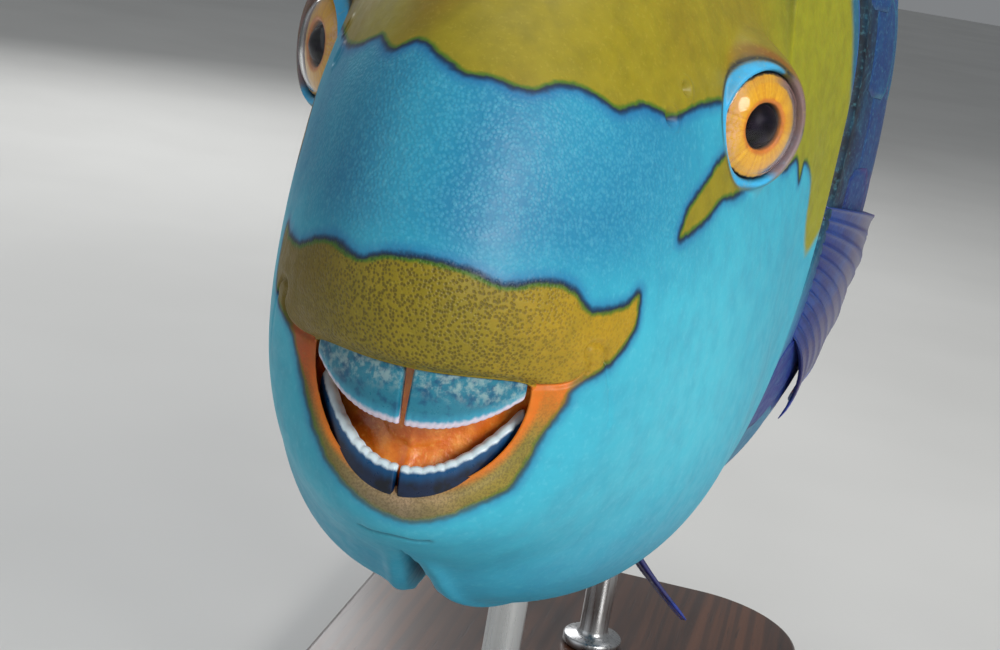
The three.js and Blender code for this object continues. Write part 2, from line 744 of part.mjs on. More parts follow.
const materials = {
  skin: new THREE.MeshStandardMaterial({ color: 0x2f9fc4, roughness: 0.35 }),
  olive: new THREE.MeshStandardMaterial({ color: 0x9a8a1e, roughness: 0.4 }),
  fin: new THREE.MeshStandardMaterial({ color: 0x1f4fae, roughness: 0.4 }),
  beak: new THREE.MeshStandardMaterial({ color: 0x2f6f92, roughness: 0.25 }),
  mouth: new THREE.MeshStandardMaterial({ color: 0xe5801c, roughness: 0.4 }),
  eye: new THREE.MeshStandardMaterial({ color: 0xf0a020, roughness: 0.1 }),
  base: new THREE.MeshStandardMaterial({ color: 0x3a2a1e, roughness: 0.5 }),
  rod: new THREE.MeshStandardMaterial({ color: 0xb8bcc0, roughness: 0.3, metalness: 1 }),
};

const fish = new THREE.Group();
const stand = new THREE.Group();

function addNode(group, name, solid, material) {
  const { numProp, numVert, vertProperties, triVerts } = solid.getMesh();
  const positions = new Float32Array(numVert * 3);
  for (let i = 0; i < numVert; i++) {
    positions.set(vertProperties.subarray(i * numProp, i * numProp + 3), i * 3);
  }
  const geometry = new THREE.BufferGeometry()
    .setAttribute("position", new THREE.BufferAttribute(positions, 3))
    .setIndex(new THREE.BufferAttribute(new Uint32Array(triVerts), 1));
  geometry.computeVertexNormals();
  const mesh = new THREE.Mesh(geometry, material);
  mesh.name = name;
  group.add(mesh);
}

const jaw = sidePrism(jawRegion(0), -SIDE_REACH, SIDE_REACH);
const jawWithGap = sidePrism(jawRegion(GAP), -SIDE_REACH, SIDE_REACH);
const headBlock = sidePrism(headRegion(GAP), -SIDE_REACH, SIDE_REACH);
const headBlockWithGap = sidePrism(headRegion(0), -SIDE_REACH, SIDE_REACH);
const sockets = [1, -1].map((side) => eyeball(side, GAP));
const pits = [1, -1].flatMap(nostrilPits);
const creases = [1, -1].map(mouthCrease);
const body = skinSolid.subtract(coverBed());
const trunk = body.subtract(headBlockWithGap);
const face = body
  .intersect(headBlock)
  .subtract(throatWedge(THROAT.front, THROAT.keelFront, 0));
const head = cut(union(face, orbit(1), orbit(-1)), jawWithGap, ...sockets, ...pits, ...creases);

addNode(fish, "head", largestBody(head), materials.olive);
addNode(fish, "lower_jaw", largestBody(face.intersect(jaw)), materials.skin);
const [coverLeft, coverRight] = gillCovers();
addNode(fish, "gill_cover_left", coverLeft, materials.skin);
addNode(fish, "gill_cover_right", coverRight, materials.skin);
addNode(fish, "torso", largestBody(trunk.subtract(tailRegion(0))), materials.skin);
addNode(fish, "tail_stem", largestBody(trunk.intersect(tailRegion(GAP))), materials.skin);
for (const [side, sideName] of [[1, "left"], [-1, "right"]]) {
  addNode(fish, `eye_${sideName}`, eyeball(side, 0), materials.eye);
  for (const jawName of ["upper", "lower"]) {
    const plate = largestBody(beakPlate(jawName, side, 0).subtract(skinWithGap));
    addNode(fish, `beak_${jawName}_${sideName}`, plate, materials.beak);
  }
}
addNode(fish, "mouth_lining", mouthLining(), materials.mouth);
addNode(fish, "dorsal_fin", finSolid(dorsalRays, { rows: 3, notch: 0.06 }), materials.fin);
addNode(fish, "anal_fin", finSolid(analRays, { rows: 2 }), materials.fin);
const [tailUpper, tailLower] = tailFinHalves();
addNode(fish, "tail_fin_upper", tailUpper, materials.fin);
addNode(fish, "tail_fin_lower", tailLower, materials.fin);
for (const [side, sideName] of [[1, "left"], [-1, "right"]]) {
  addNode(fish, `pectoral_fin_${sideName}`, finSolid(pectoralRays(side), { rows: 4 }), materials.fin);
  addNode(fish, `pelvic_fin_${sideName}`, finSolid(pelvicRays(side), { rows: 4 }), materials.fin);
}
addNode(stand, "stand_base", standBase(), materials.base);
for (const [rodName, b] of Object.entries(ROD_PLACES)) {
  addNode(stand, `stand_rod_${rodName}`, standRod(b), materials.rod);
}

const parrotfish = new THREE.Group();
parrotfish.add(fish, stand);
export default parrotfish;
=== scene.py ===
# The looks of a life-size parrotfish model on a display stand, built round its solids.
# Lengths are millimetres in the fish's own coordinates, x to its left, b back from the beak and z up,
# until place() bends a point with the spine and puts it into the part's frame in metres.
import math

import bmesh
import bpy
import numpy as np
from mathutils import Matrix, Vector
from mathutils.kdtree import KDTree


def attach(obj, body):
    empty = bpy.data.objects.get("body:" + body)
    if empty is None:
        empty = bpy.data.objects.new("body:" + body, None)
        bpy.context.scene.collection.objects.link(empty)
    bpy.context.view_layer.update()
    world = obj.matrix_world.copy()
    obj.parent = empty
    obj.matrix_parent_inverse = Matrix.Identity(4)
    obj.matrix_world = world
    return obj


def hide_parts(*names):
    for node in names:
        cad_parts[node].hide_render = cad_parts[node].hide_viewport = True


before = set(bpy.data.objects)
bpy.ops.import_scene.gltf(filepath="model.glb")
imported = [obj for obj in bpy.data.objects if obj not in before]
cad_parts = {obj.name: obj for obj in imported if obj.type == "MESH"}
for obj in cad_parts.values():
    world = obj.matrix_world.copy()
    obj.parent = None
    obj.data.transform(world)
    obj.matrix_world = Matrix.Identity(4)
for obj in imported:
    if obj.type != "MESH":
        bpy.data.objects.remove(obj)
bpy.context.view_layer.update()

MM = 0.001
SIDES = (("left", 1), ("right", -1))
rad = math.radians

# Driving dimensions, the same as the solids'
MOUTH_HEIGHT = 182
BASE_CENTRE_B = 225
SHOULDER_FROM, SHOULDER_TO, SHOULDER_TURN = 140, 240, rad(5)
TAIL_TO, TAIL_TURN = 620, rad(20)

# Rings of the skin: top (b, z), bottom (b, z), height and half width of the widest point,
# how far the sides bow back, and the fullness of the upper and lower half.
STATIONS = np.array([
    [28, 5, 28, -15, -4, 12, 0, 2, 2],
    [19, 9, 20, -20, -4, 19, 4, 2, 2],
    [5.5, 10.5, 10, -24.5, -1, 22.5, 9, 2.6, 2.1],
    [0.5, 5, 5.5, -17.5, 2.5, 19.5, 10, 3.4, 2.1],  # edge of the lips
    [-2.5, 8.5, 3.8, -20.5, 2, 24.5, 15, 2.9, 2.1],
    [-3.5, 20, 7, -27, 1, 31.5, 21, 2.4, 2.15],
    [1.5, 36, 15, -33, -1, 37, 27, 2.3, 2.25],
    [13, 57, 27, -40, -3, 42.5, 33, 2.35, 2.4],
    [38, 78, 44, -52, -5, 48.5, 36, 2.4, 2.55],
    [75, 94, 75, -64, -4, 53.5, 33, 2.4, 2.5],  # over the eyes
    [120, 104, 120, -75, 30, 56, 22, 3.1, 2.7],  # gill covers
    [165, 109, 165, -82, 38, 62.5, 8, 3.1, 2.3],
    [210, 110, 210, -85, 36, 67, 0, 3, 2.25],
    [270, 101, 270, -79, 24, 60, 0, 2.6, 2.15],
    [340, 80, 340, -61, 8, 43, 0, 2.1, 2],
    [400, 57, 400, -38.5, 9, 28, 0, 2, 2],
    [450, 41, 450, -20.5, 9.5, 17, 0, 2, 2],
    [485, 36, 485, -17, 9.5, 11.5, 0, 2, 2],  # narrowest part of the tail stem
    [500, 37, 500, -18, 9.5, 8, 0, 2, 2],
    [509, 37, 509, -18, 9.5, 3.2, 0, 2, 2],  # root of the tail fin
], float)
LIP_EDGE = 3
LAST = len(STATIONS) - 1
REACH = 26.0  # how far from the border of a marking its distance is measured


# Small mathematical helpers

def ramp(value, low, high):
    """A smooth step from 0 at low to 1 at high, which falls where low is the greater."""
    t = np.clip((value - low) / (high - low), 0, 1)
    return t * t * (3 - 2 * t)


def lerp(a, b, t):
    return a + (b - a) * t


def spline(p0, p1, p2, p3, t):
    """The smooth curve from p1 to p2 at the share t."""
    slope = (p2 - p0) * t + (2 * p0 - 5 * p1 + 4 * p2 - p3) * t * t
    return p1 + 0.5 * (slope + (3 * p1 - p0 - 3 * p2 + p3) * t**3)


def bump_at(value, centre, width):
    """1 at the centre, falling smoothly to almost nothing a few widths away."""
    return np.exp(-(((value - centre) / width) ** 2))


def unit(vectors):
    return vectors / np.maximum(np.linalg.norm(vectors, axis=-1, keepdims=True), 1e-12)


def stack(*parts):
    return np.stack(np.broadcast_arrays(*parts), -1).astype(float)


def wrapped(degrees, middle):
    """The same turn as the given one, no more than half a turn from the middle."""
    return (degrees - middle + 180) % 360 - 180 + middle


def smooth_noise(points, size, seed):
    """Cheap smooth noise from -1 to 1: a few sine waves in seeded directions."""
    waves = np.random.default_rng(seed).normal(size=(7, 3))
    phases = np.random.default_rng(seed + 1).uniform(0, 6.28, 7)
    total = sum(np.sin(points @ (w * 2.2 / size) + p) for w, p in zip(waves, phases))
    return total / 3.2


def fan(count, ray):
    """The rays of a fin, each from its number and its share of the way along."""
    return [ray(i, i / (count - 1)) for i in range(count)]


def linear(red, green, blue):
    """A colour given as sRGB shares, in the renderer's linear light."""
    values = np.array([red, green, blue], float)
    return np.where(values <= 0.04045, values / 12.92, ((values + 0.055) / 1.055) ** 2.4)


# The fish's shape

def spine_at(b):
    shoulder_radius = (SHOULDER_TO - SHOULDER_FROM) / SHOULDER_TURN
    tail_radius = (TAIL_TO - SHOULDER_TO) / TAIL_TURN
    start = np.clip(b - SHOULDER_FROM, 0, SHOULDER_TO - SHOULDER_FROM) / shoulder_radius
    heading = start - np.maximum(b - SHOULDER_TO, 0) / tail_radius
    x = shoulder_radius * (1 - np.cos(start)) + tail_radius * (np.cos(heading) - np.cos(start))
    y = np.minimum(b, SHOULDER_FROM) + shoulder_radius * np.sin(start)
    return heading, x, y + tail_radius * (np.sin(start) - np.sin(heading))


def place(points):
    """Fish coordinates in millimetres to the part's frame in metres."""
    points = np.asarray(points, float)
    x, b, z = points[..., 0], points[..., 1], points[..., 2]
    heading, spine_x, spine_y = spine_at(b)
    return MM * np.stack([
        spine_x + x * np.cos(heading),
        spine_y - x * np.sin(heading) - BASE_CENTRE_B,
        z + MOUTH_HEIGHT,
    ], -1)


def station_values(u):
    at = np.clip(np.floor(u).astype(int), 0, LAST - 1)
    t = (u - at)[..., None]
    p1, p2 = STATIONS[at], STATIONS[at + 1]
    p0 = np.where((at == LIP_EDGE)[..., None], 2 * p1 - p2, STATIONS[np.maximum(at - 1, 0)])
    last = (at == LAST - 1)[..., None]
    p3 = np.where(last, 2 * p2 - p1, STATIONS[np.minimum(at + 2, LAST)])
    return np.where((at < LIP_EDGE)[..., None], lerp(p1, p2, t), spline(p0, p1, p2, p3, t))


def skin_at(u, angle):
    """A point of the plain skin: u runs back along the stations, angle round from the left side up."""
    u, angle = np.broadcast_arrays(np.asarray(u, float), np.asarray(angle, float))
    values = station_values(u)
    top_b, top_z, bottom_b, bottom_z, side_z, width, bow, upper, lower = np.moveaxis(values, -1, 0)
    c, s = np.cos(angle), np.sin(angle)
    up = s >= 0
    power = 2 / np.where(up, upper, lower)
    across = np.sign(c) * np.abs(c) ** power
    along = np.abs(s) ** power
    end_b, end_z = np.where(up, top_b, bottom_b), np.where(up, top_z, bottom_z)
    side_b = lerp(bottom_b, top_b, (side_z - bottom_z) / (top_z - bottom_z))
    b = lerp(side_b, end_b, along) + bow * across * across
    return np.stack([width * across, b, lerp(side_z, end_z, along)], -1)


def skin_normal(u, angle, step=2e-3):
    back = skin_at(np.minimum(u + step, LAST), angle) - skin_at(np.maximum(u - step, 0), angle)
    round_ = skin_at(u, angle + step) - skin_at(u, angle - step)
    return unit(np.cross(back, round_))


def on_skin(curve):
    """Points of the skin along a curve of (u, degrees)."""
    return skin_at(curve[:, 0], np.radians(curve[:, 1]))


def profile_z(b, angle):
    """Height of the back (angle 90) or the belly (angle -90) at a distance b."""
    table = skin_at(np.linspace(5, LAST, 800), rad(angle))
    return np.interp(b, table[:, 1], table[:, 2])


def half_width_at(b, z):
    """The left half width of the skin at a distance b and a height z."""
    u, angle = np.meshgrid(np.linspace(5, LAST, 500), np.radians(np.linspace(-89, 89, 300)))
    grid = skin_at(u, angle).reshape(-1, 3)
    near = np.argmin((grid[:, 1] - b) ** 2 + (grid[:, 2] - z) ** 2)
    return grid[near, 0]


# Curves on the skin, drawn through a few given points

def catmull_rom(points, closed, steps):
    """A smooth curve through the points, in so many steps from each to the next."""
    points = np.asarray(points, float)
    if closed:
        padded = np.vstack([points[-1], points, points[:2]])
    else:
        padded = np.vstack([2 * points[0] - points[1], points, 2 * points[-1] - points[-2]])
    at = np.arange(len(padded) - 3)[:, None]
    t = (np.arange(steps) / steps)[None, :, None]
    curve = spline(*(padded[at + k] for k in range(4)), t).reshape(-1, points.shape[1])
    return curve if closed else np.vstack([curve, points[-1]])


def inside_polygon(x, y, polygon):
    inside = np.zeros(len(x), bool)
    for (x0, y0), (x1, y1) in zip(polygon, np.roll(polygon, -1, 0)):
        if y0 == y1:
            continue
        crosses = (y0 > y) != (y1 > y)
        inside ^= crosses & (x < x0 + (y - y0) * (x1 - x0) / (y1 - y0))
    return inside


def distance_to_path(points, path, closed=False):
    """Distance from each point to a path of close points, measured to its segments."""
    tree = KDTree(len(path))
    for i, p in enumerate(path):
        tree.insert(list(p) + [0.0] * (3 - len(p)), i)
    tree.balance()
    flat = np.hstack([points, np.zeros((len(points), 3 - points.shape[1]))])
    near = np.array([tree.find(p)[1] for p in flat.tolist()], int)
    best = np.full(len(points), 1e9)
    last = len(path) - 1
    for step in (-1, 1):
        other = (near + step) % len(path) if closed else np.clip(near + step, 0, last)
        start, span = path[near], path[other] - path[near]
        length = np.maximum((span**2).sum(1), 1e-12)
        t = np.clip(((points - start) * span).sum(1) / length, 0, 1)[:, None]
        best = np.minimum(best, np.linalg.norm(points - start - span * t, axis=1))
    return best


class Patch:
    """A closed region over the back of the skin, inside a curve of (u, degrees) points."""

    def __init__(self, points, mirrored=False):
        self.outline = catmull_rom(points, True, 6)
        if mirrored:
            self.outline[:, 1] = 180 - self.outline[:, 1]
        self.path = on_skin(self.outline)

    def signed(self, u, angle):
        """Signed distance in millimetres, below zero inside."""
        points = skin_at(u, angle)
        low, high = self.path.min(0) - REACH, self.path.max(0) + REACH
        close = ((points > low) & (points < high)).all(1)
        distance = np.full(len(u), REACH)
        distance[close] = np.minimum(distance_to_path(points[close], self.path, True), REACH)
        inside = inside_polygon(u, wrapped(np.degrees(angle), 90), self.outline)
        return np.where(inside, -distance, distance)


# The markings

# The olive cap over head and nape: along the forehead, over the eye, down behind it and back on the flank.
CAP_LEFT = [
    (6.88, 90), (6.89, 86), (6.87, 79), (7.01, 72.5), (7.06, 66.5), (7.08, 59.5), (7.26, 55),
    (7.4, 48), (7.71, 44), (7.8, 42.8), (8.16, 38.2), (8.5, 36), (8.7, 28), (8.9, 21.5),
    (9.22, 17.2), (9.33, 11.4), (9.42, 11.6), (9.62, 5.5), (9.81, 0), (10.0, -4.2), (10.14, -6.2),
    (10.3, -6), (10.5, -4.6), (10.6, -1), (10.52, 2), (10.43, 6), (10.36, 10), (10.31, 14),
    (10.27, 18.5), (10.25, 23.5), (10.3, 29), (10.4, 35), (10.54, 40.5), (10.72, 45.5), (11.2, 47.5),
    (12.1, 47), (13, 51), (13.7, 62), (14.05, 76), (14.1, 90),
]
CAP_RIGHT_FRONT = [
    (8.5, 144), (8.16, 141.5), (7.81, 135.5), (7.4, 128), (7.23, 120.8), (7.19, 113),
    (7.05, 108.2), (7.09, 100.5), (6.96, 94.5),
]
FOREHEAD_COUNT = 11  # of the cap's points in front of the left eye

# The streak that runs forward from the eye
STREAK = [
    (7.72, 33), (7.46, 32.5), (7.14, 32.2), (6.95, 30.4), (6.91, 28.8), (7.31, 26.8),
    (7.62, 27), (7.85, 25.2), (8.1, 25), (8.1, 31),
]

BEHIND_RIGHT_EYE = [(u, 180 - a) for u, a in CAP_LEFT[FOREHEAD_COUNT + 1:-1]][::-1]
PATCHES = [Patch(CAP_LEFT + BEHIND_RIGHT_EYE + CAP_RIGHT_FRONT), Patch(STREAK), Patch(STREAK, True)]

# The outer border of the lips, as u at degrees round the mouth
LIP_BORDER = [
    (90, 5.33), (81, 5.31), (71, 5.25), (66, 5.28), (57, 5.46), (49, 5.51), (39.5, 5.43),
    (31, 5.8), (29.6, 6.1), (26.5, 6.02), (21.8, 5.82), (17.2, 5.3), (9.5, 4.43), (-2.8, 4.15),
    (-18.8, 3.88), (-36, 4.09), (-46, 4.28), (-58, 4.27), (-69, 4.37), (-83.5, 4.5), (-91, 4.44),
    (-104, 4.22), (-123, 3.97), (-141, 3.76), (-160, 3.7), (-177, 4), (-189, 4.4), (-196, 5.0),
    (-200, 5.5), (-206, 5.95), (-210, 6.05), (-213, 5.8), (-221, 5.5), (-227, 5.44), (-242, 5.4),
    (-253, 5.22), (-264, 5.31),
]


def lip_distance(u, angle):
    """Signed distance to the outer border of the lips, below zero on them."""
    around = [(turn + 360, u_at) for turn, u_at in LIP_BORDER[-3:]]
    around += LIP_BORDER + [(turn - 360, u_at) for turn, u_at in LIP_BORDER[:3]]
    curve = catmull_rom(around, False, 8)[::-1]
    border = np.interp(wrapped(np.degrees(angle), -90), curve[:, 0], curve[:, 1])
    distance = np.full(len(u), REACH)
    close = u < 8
    path = on_skin(curve[:, ::-1])
    distance[close] = np.minimum(distance_to_path(skin_at(u, angle)[close], path), REACH)
    return np.where(u < border, -distance, distance)


# Forms that the plain skin takes on: eye sockets, gill covers, throat, mouth creases, nostrils

EYE = {"x": 46.4, "b": 72, "z": 47.9, "turn": rad(52), "radius": 12, "depth": 7, "proud": 2.7}
EYE_LIMIT = 21  # how far from an eye's axis its socket reaches


def eye_frame(side):
    """The middle of the iris and the eye's axes as rows: across, up and out."""
    out = np.array([side * math.sin(EYE["turn"]), -math.cos(EYE["turn"]), 0])
    up = np.array([0.0, 0.0, 1.0])
    return np.array([side * EYE["x"], EYE["b"], EYE["z"]]), np.array([np.cross(up, out), up, out])


def seen_by_eye(points, side):
    """Points across, up and out from an eye's middle, and how far they lie from its axis."""
    middle, axes = eye_frame(side)
    local = (points - middle) @ axes.T
    return local, np.hypot(local[:, 0], local[:, 1])


# How far the socket stands along the eye's axis, by the distance from that axis
SOCKET_AT = [0, 9.6, 10.3, 10.7, 11.2, 11.9, 12.8, 14.0, 15.6, 17.5, 20, 24]
SOCKET_OUT = [-9, -7.5, -3.4, -1.3, -0.15, 0.1, -0.7, -2.4, -5.2, -9.5, -16, -30]

COVER_OUTLINE = [
    (112, 66), (128, 84), (148, 84), (158, 58), (156, 28), (152, 0), (145, -34), (127, -64),
    (100, -96), (50, -96), (36, -62), (42, -46), (66, -41), (89, -25), (99, 0), (102, 34),
]
COVER_LIFT = 1.35
THROAT_FRONT, THROAT_KEEL, THROAT_REAR = 17, 66, 140
THROAT_SPREAD = 0.125  # the half width that it gains with each millimetre back
CREASE = [(3.2, 9), (3.7, 10), (4.1, 9.5), (4.4, 12), (4.75, 20), (4.9, 28.5), (5.04, 29.5),
          (5.15, 27.8), (5.2, 24.8), (5.17, 20.8), (5.08, 17.5)]
CREASE_DOWN = [(5.08, 18), (5.04, 11), (5.06, 3.5), (5.14, -3), (5.22, -8)]
CHIN_FOLD = [(5.2, -90), (5.23, -87.5), (5.27, -85), (5.28, -82.5), (5.25, -80.5)]
NOSTRILS = [(40, 50, 1.2), (47, 55, 1.0)]


def gape(z):
    """The gill opening gapes along the upper part of the cover's rear edge."""
    return ramp(z, -15, 24) * ramp(z, 90, 74)


def cover_distance(points):
    """Distance outside the edge of the gill covers, below zero on them, and how open they are there."""
    side_view = points[:, 1:]
    outline = catmull_rom(COVER_OUTLINE, True, 8)
    distance = distance_to_path(side_view, outline, True)
    distance = np.where(inside_polygon(side_view[:, 0], side_view[:, 1], outline), -distance, distance)
    b, z = side_view.T
    rear = ramp(b + 0.2 * np.abs(z), 108, 152)
    return distance, rear


def throat_distance(points):
    """Distance inside the edges of the V between the gill covers, below zero outside it."""
    x, b, z = points.T
    half = 0.5 + THROAT_SPREAD * (b - THROAT_FRONT)
    return np.where((z < -30) & (b < 200), half - np.abs(x), -99.0)


def route_distance(route, u, points):
    """Distance from points near the mouth to a route of (u, degrees) points and to its mirror image."""
    line = catmull_rom(route, False, 10)
    away = np.full(len(u), 99.0)
    for _, side in SIDES:
        near = (u < 7.5) & (points[:, 0] * side >= 0)
        away[near] = distance_to_path(points[near], on_skin(line))
        line[:, 1] = 180 - line[:, 1]
    return away


def socketed(points):
    """Points of the skin pulled out or in round the eyes."""
    for _, side in SIDES:
        middle, axes = eye_frame(side)
        local, radius = seen_by_eye(points, side)
        near = (radius < EYE_LIMIT) & (points[:, 0] * side > 15)
        radius, height = radius[near], local[near, 2]
        target = np.interp(radius, SOCKET_AT, SOCKET_OUT)
        blend = 2.2 * ramp(radius, 12.2, 16)
        raised = 0.5 * (height + target + np.sqrt((height - target) ** 2 + blend * blend))
        inner = lerp(np.minimum(target, raised), raised, ramp(radius, 10.2, 12))
        local[near, 2] = np.where(radius < 12, inner, raised)
        points = np.where(near[:, None], middle + local @ axes, points)
    return points


def edge_profile(distance, slit, lift, depth):
    """Where the skin goes near the rear edge of a gill cover: how far along, and how high."""
    at = [-7, -3, -1.2, -0.4, 0.2, 0.8, 1.4, 2.2, 3.2]
    along = [0, 0.6, 1.3, 1.9, 2.0, 1.3, -0.6, -2.0, -1.4]
    high = [1, 1, 0.97, 0.75, 0.25, -0.3, -0.7, -0.9, -1.0]
    share = np.interp(distance, at, high)
    back_up = ramp(distance, slit + 5, slit)
    height = np.where(share > 0, share * lift, share * depth * back_up)
    forward = np.interp(distance, at + [6], along + [0])
    return forward, height


def formed(u, angle, inset):
    """Points of the finished skin in fish coordinates."""
    plain, normal = skin_at(u, angle), skin_normal(u, angle)
    x, b, z = plain.T
    distance, rear = cover_distance(plain)
    opening = gape(z) * ramp(b, 130, 156)
    lift = COVER_LIFT * ramp(b, 112, 152)
    depth = rear * (2.2 + 5.5 * opening)
    forward, height = edge_profile(distance, lerp(1.6, 8.5, opening), lift, depth)
    outward = stack(0, b - 105, z * 0.55)
    outward = unit(outward - (outward * normal).sum(1)[:, None] * normal)
    height = height * (b > 25) - inset

    inside_v = throat_distance(plain)
    keel = ramp(b, THROAT_KEEL - 4, THROAT_KEEL + 8)
    fade = ramp(b, THROAT_FRONT - 3, THROAT_FRONT + 5) * ramp(b, THROAT_REAR, 126)
    open_v = np.clip(inside_v * 3.2, 0, 11)
    groove = 3.4 * ramp(inside_v, -0.7, 0.6) * ramp(inside_v, 3.2, 1.4)
    fold = 1.1 * bump_at(inside_v, -2.2, 1.8) * ramp(b, 17, 30) * ramp(b, 130, 100)
    height = height + fold - fade * lerp(open_v, groove, keel)

    for route, deep, wide in ((CREASE, 0.7, 0.5), (CREASE_DOWN, 0.35, 0.45), (CHIN_FOLD, 0.5, 0.6)):
        height = height - deep * bump_at(route_distance(route, u, plain), 0, wide)
    for pit_b, pit_z, radius in NOSTRILS:
        away = np.hypot(b - pit_b, z - pit_z) / radius
        height = height + (0.3 * bump_at(away, 1.9, 0.6) - 1.3 * bump_at(away, 0, 1)) * (np.abs(x) > 12)
    return socketed(plain + normal * height[:, None] + outward * (forward * rear * (b > 25))[:, None])


# Meshes

def grid_faces(rows, columns, closed_columns=False, first=0):
    """Quads between rows of points, each row next to the one before."""
    r, c = np.mgrid[:rows - 1, :columns if closed_columns else columns - 1]
    here, beside = r * columns, (c + 1) % columns
    quads = np.stack([here + c, here + beside, here + columns + beside, here + columns + c], -1)
    return (quads.reshape(-1, 4) + first).tolist()


def plate_faces(rows, columns, number=1):
    """Quads of closed plates, each with a grid in front, one behind and a rim between them."""
    size = rows * columns
    front = np.array(grid_faces(rows, columns))
    index = np.arange(size).reshape(rows, columns)
    edge = np.concatenate([index[0], index[1:, -1], index[-1, -2::-1], index[-2:0:-1, 0]])
    after = np.roll(edge, -1)
    rim = np.stack([edge, after, after + size, edge + size], -1)
    plate = np.vstack([front[:, ::-1], front + size, rim])
    return (plate[None] + 2 * size * np.arange(number)[:, None, None]).reshape(-1, 4).tolist()


def tube(rings, start, end):
    """Points and faces of a body of closed rings with a point at either end."""
    rings = np.asarray(rings, float)
    sides = rings.shape[1]
    points = np.vstack([[start], rings.reshape(-1, 3), [end]])
    faces = grid_faces(len(rings), sides, True, 1)
    last = len(points) - 1
    for i in range(sides):
        j = (i + 1) % sides
        faces += [[0, 1 + j, 1 + i], [last, last - sides + i, last - sides + j]]
    return points, faces


def linked(obj):
    bpy.context.scene.collection.objects.link(obj)
    return obj


def piece(name, points, faces, material, nodes=(), values=None, outward=True):
    """A new object of points in metres, with values held at each, which replaces nodes of the solids."""
    mesh = bpy.data.meshes.new(name)
    mesh.from_pydata(points.tolist(), [], faces)
    mesh.validate()
    mesh.polygons.foreach_set("use_smooth", [True] * len(mesh.polygons))
    for key, held in (values or {}).items():
        kind, field = ("FLOAT_VECTOR", "vector") if held.ndim == 2 else ("FLOAT", "value")
        mesh.attributes.new(key, kind, "POINT").data.foreach_set(field, held.astype(np.float32).ravel())
    if outward:
        bm = bmesh.new()
        bm.from_mesh(mesh)
        bmesh.ops.recalc_face_normals(bm, faces=bm.faces)
        bm.to_mesh(mesh)
        bm.free()
    mesh.materials.append(material)
    obj = linked(bpy.data.objects.new(name, mesh))
    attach(obj, "root")
    if nodes:
        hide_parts(*nodes)
    return obj


# The skin: a grid in (u, angle), cut finer where its forms and markings need it

RING_SIDES = 180
RINGS = [
    (0, 3, 9), (3, 4, 10), (4, 5, 9), (5, 6, 12), (6, 7, 15), (7, 8, 22), (8, 9, 26), (9, 10, 28),
    (10, 11, 26), (11, 12, 24), (12, 15, 54), (15, 17, 26), (17, 19, 10),
]  # (from u, to u, rings)


def refined_grid():
    """u, angles and faces, with the cells near forms and markings halved as often as they want."""
    u_values = np.concatenate([np.linspace(a, b, n, endpoint=False) for a, b, n in RINGS] + [[LAST]])
    turn = np.arange(RING_SIDES) / RING_SIDES * 2 * math.pi
    mesh = bpy.data.meshes.new("grid")
    mesh.from_pydata(stack(u_values[:, None], np.cos(turn), np.sin(turn)).reshape(-1, 3).tolist(), [],
                     grid_faces(len(u_values), RING_SIDES, True))
    bm = bmesh.new()
    bm.from_mesh(mesh)

    def parameters():
        bm.verts.ensure_lookup_table()
        bm.verts.index_update()
        co = np.array([v.co for v in bm.verts])
        return co[:, 0], np.arctan2(co[:, 2], co[:, 1])

    for level in range(3):
        need = wanted_level(*parameters()) > level
        edges = {edge for face in bm.faces if any(need[v.index] for v in face.verts) for edge in face.edges}
        bmesh.ops.subdivide_edges(bm, edges=list(edges), cuts=1, use_grid_fill=True)
    bmesh.ops.triangulate(bm, faces=[f for f in bm.faces if len(f.verts) > 4])
    u, angle = parameters()
    faces = [[v.index for v in face.verts] for face in bm.faces]
    bm.free()
    bpy.data.meshes.remove(mesh)
    return u, angle, faces


def wanted_level(u, angle):
    """How many times the cells round a point of the grid are halved."""
    points = skin_at(u, angle)
    x, b, z = points.T
    level = np.zeros(len(u))
    level[(u >= 2.6) & (u < 7.3)] = 1
    for _, side in SIDES:
        _, radius = seen_by_eye(points, side)
        near = (radius < 19) & (x * side > 15)
        level[near] = 2
        level[near & (np.abs(radius - 11.6) < 2.6)] = 3
    distance, rear = cover_distance(points)
    level[(distance > -4) & (distance < 5) & (rear > 0.05)] = 2
    level[(np.abs(distance - 0.7) < 2.2) & (rear > 0.2)] = 3
    throat = throat_distance(points)
    level[(throat > -4) & (throat < 8) & (b > 12) & (b < 138) & (np.abs(x) < 14)] = 2
    level[(b < 14) & (z < -22) & (np.abs(x) < 13)] = 2
    for pit_b, pit_z, radius in NOSTRILS:
        level[np.hypot(b - pit_b, z - pit_z) < 3.2 * radius] = 3
    marked = (np.abs(marking_distance(u, angle)) < 3) & (b < 150)
    level[marked] = np.maximum(level, 2)[marked]
    return level


def marking_distance(u, angle):
    """Signed distance to the border of everything olive or fleshy, below zero inside."""
    distance = lip_distance(u, angle)
    for patch in PATCHES:
        distance = np.minimum(distance, patch.signed(u, angle))
    return distance


# Colours over the body: a blue and a gold for each point, and the weights of the finer patterns

TURQUOISE = linear(0.20, 0.66, 0.76)
CHEEK_PALE = linear(0.30, 0.74, 0.82)
SNOUT_BLUE = linear(0.10, 0.46, 0.61)
CHIN_BLUE = linear(0.14, 0.50, 0.64)
COBALT = linear(0.05, 0.16, 0.48)
VIOLET = linear(0.17, 0.18, 0.52)
PLUM = linear(0.42, 0.20, 0.42)
EDGE_TURQUOISE = linear(0.12, 0.52, 0.60)
TEAL = linear(0.10, 0.50, 0.56)
OLIVE = linear(0.55, 0.50, 0.07)
OLIVE_BROWN = linear(0.47, 0.37, 0.05)
OLIVE_GREEN = linear(0.57, 0.60, 0.08)
BROW_BROWN = linear(0.50, 0.32, 0.07)
LIMBAL_PINK = linear(0.52, 0.42, 0.42)
# dark reddish brown of the throat notch and chin fold, partly painted shade
THROAT_SHADE_BROWN = linear(0.14, 0.06, 0.05)
LIP_OLIVE = linear(0.51, 0.45, 0.06)
LIP_YELLOW = linear(0.68, 0.54, 0.08)
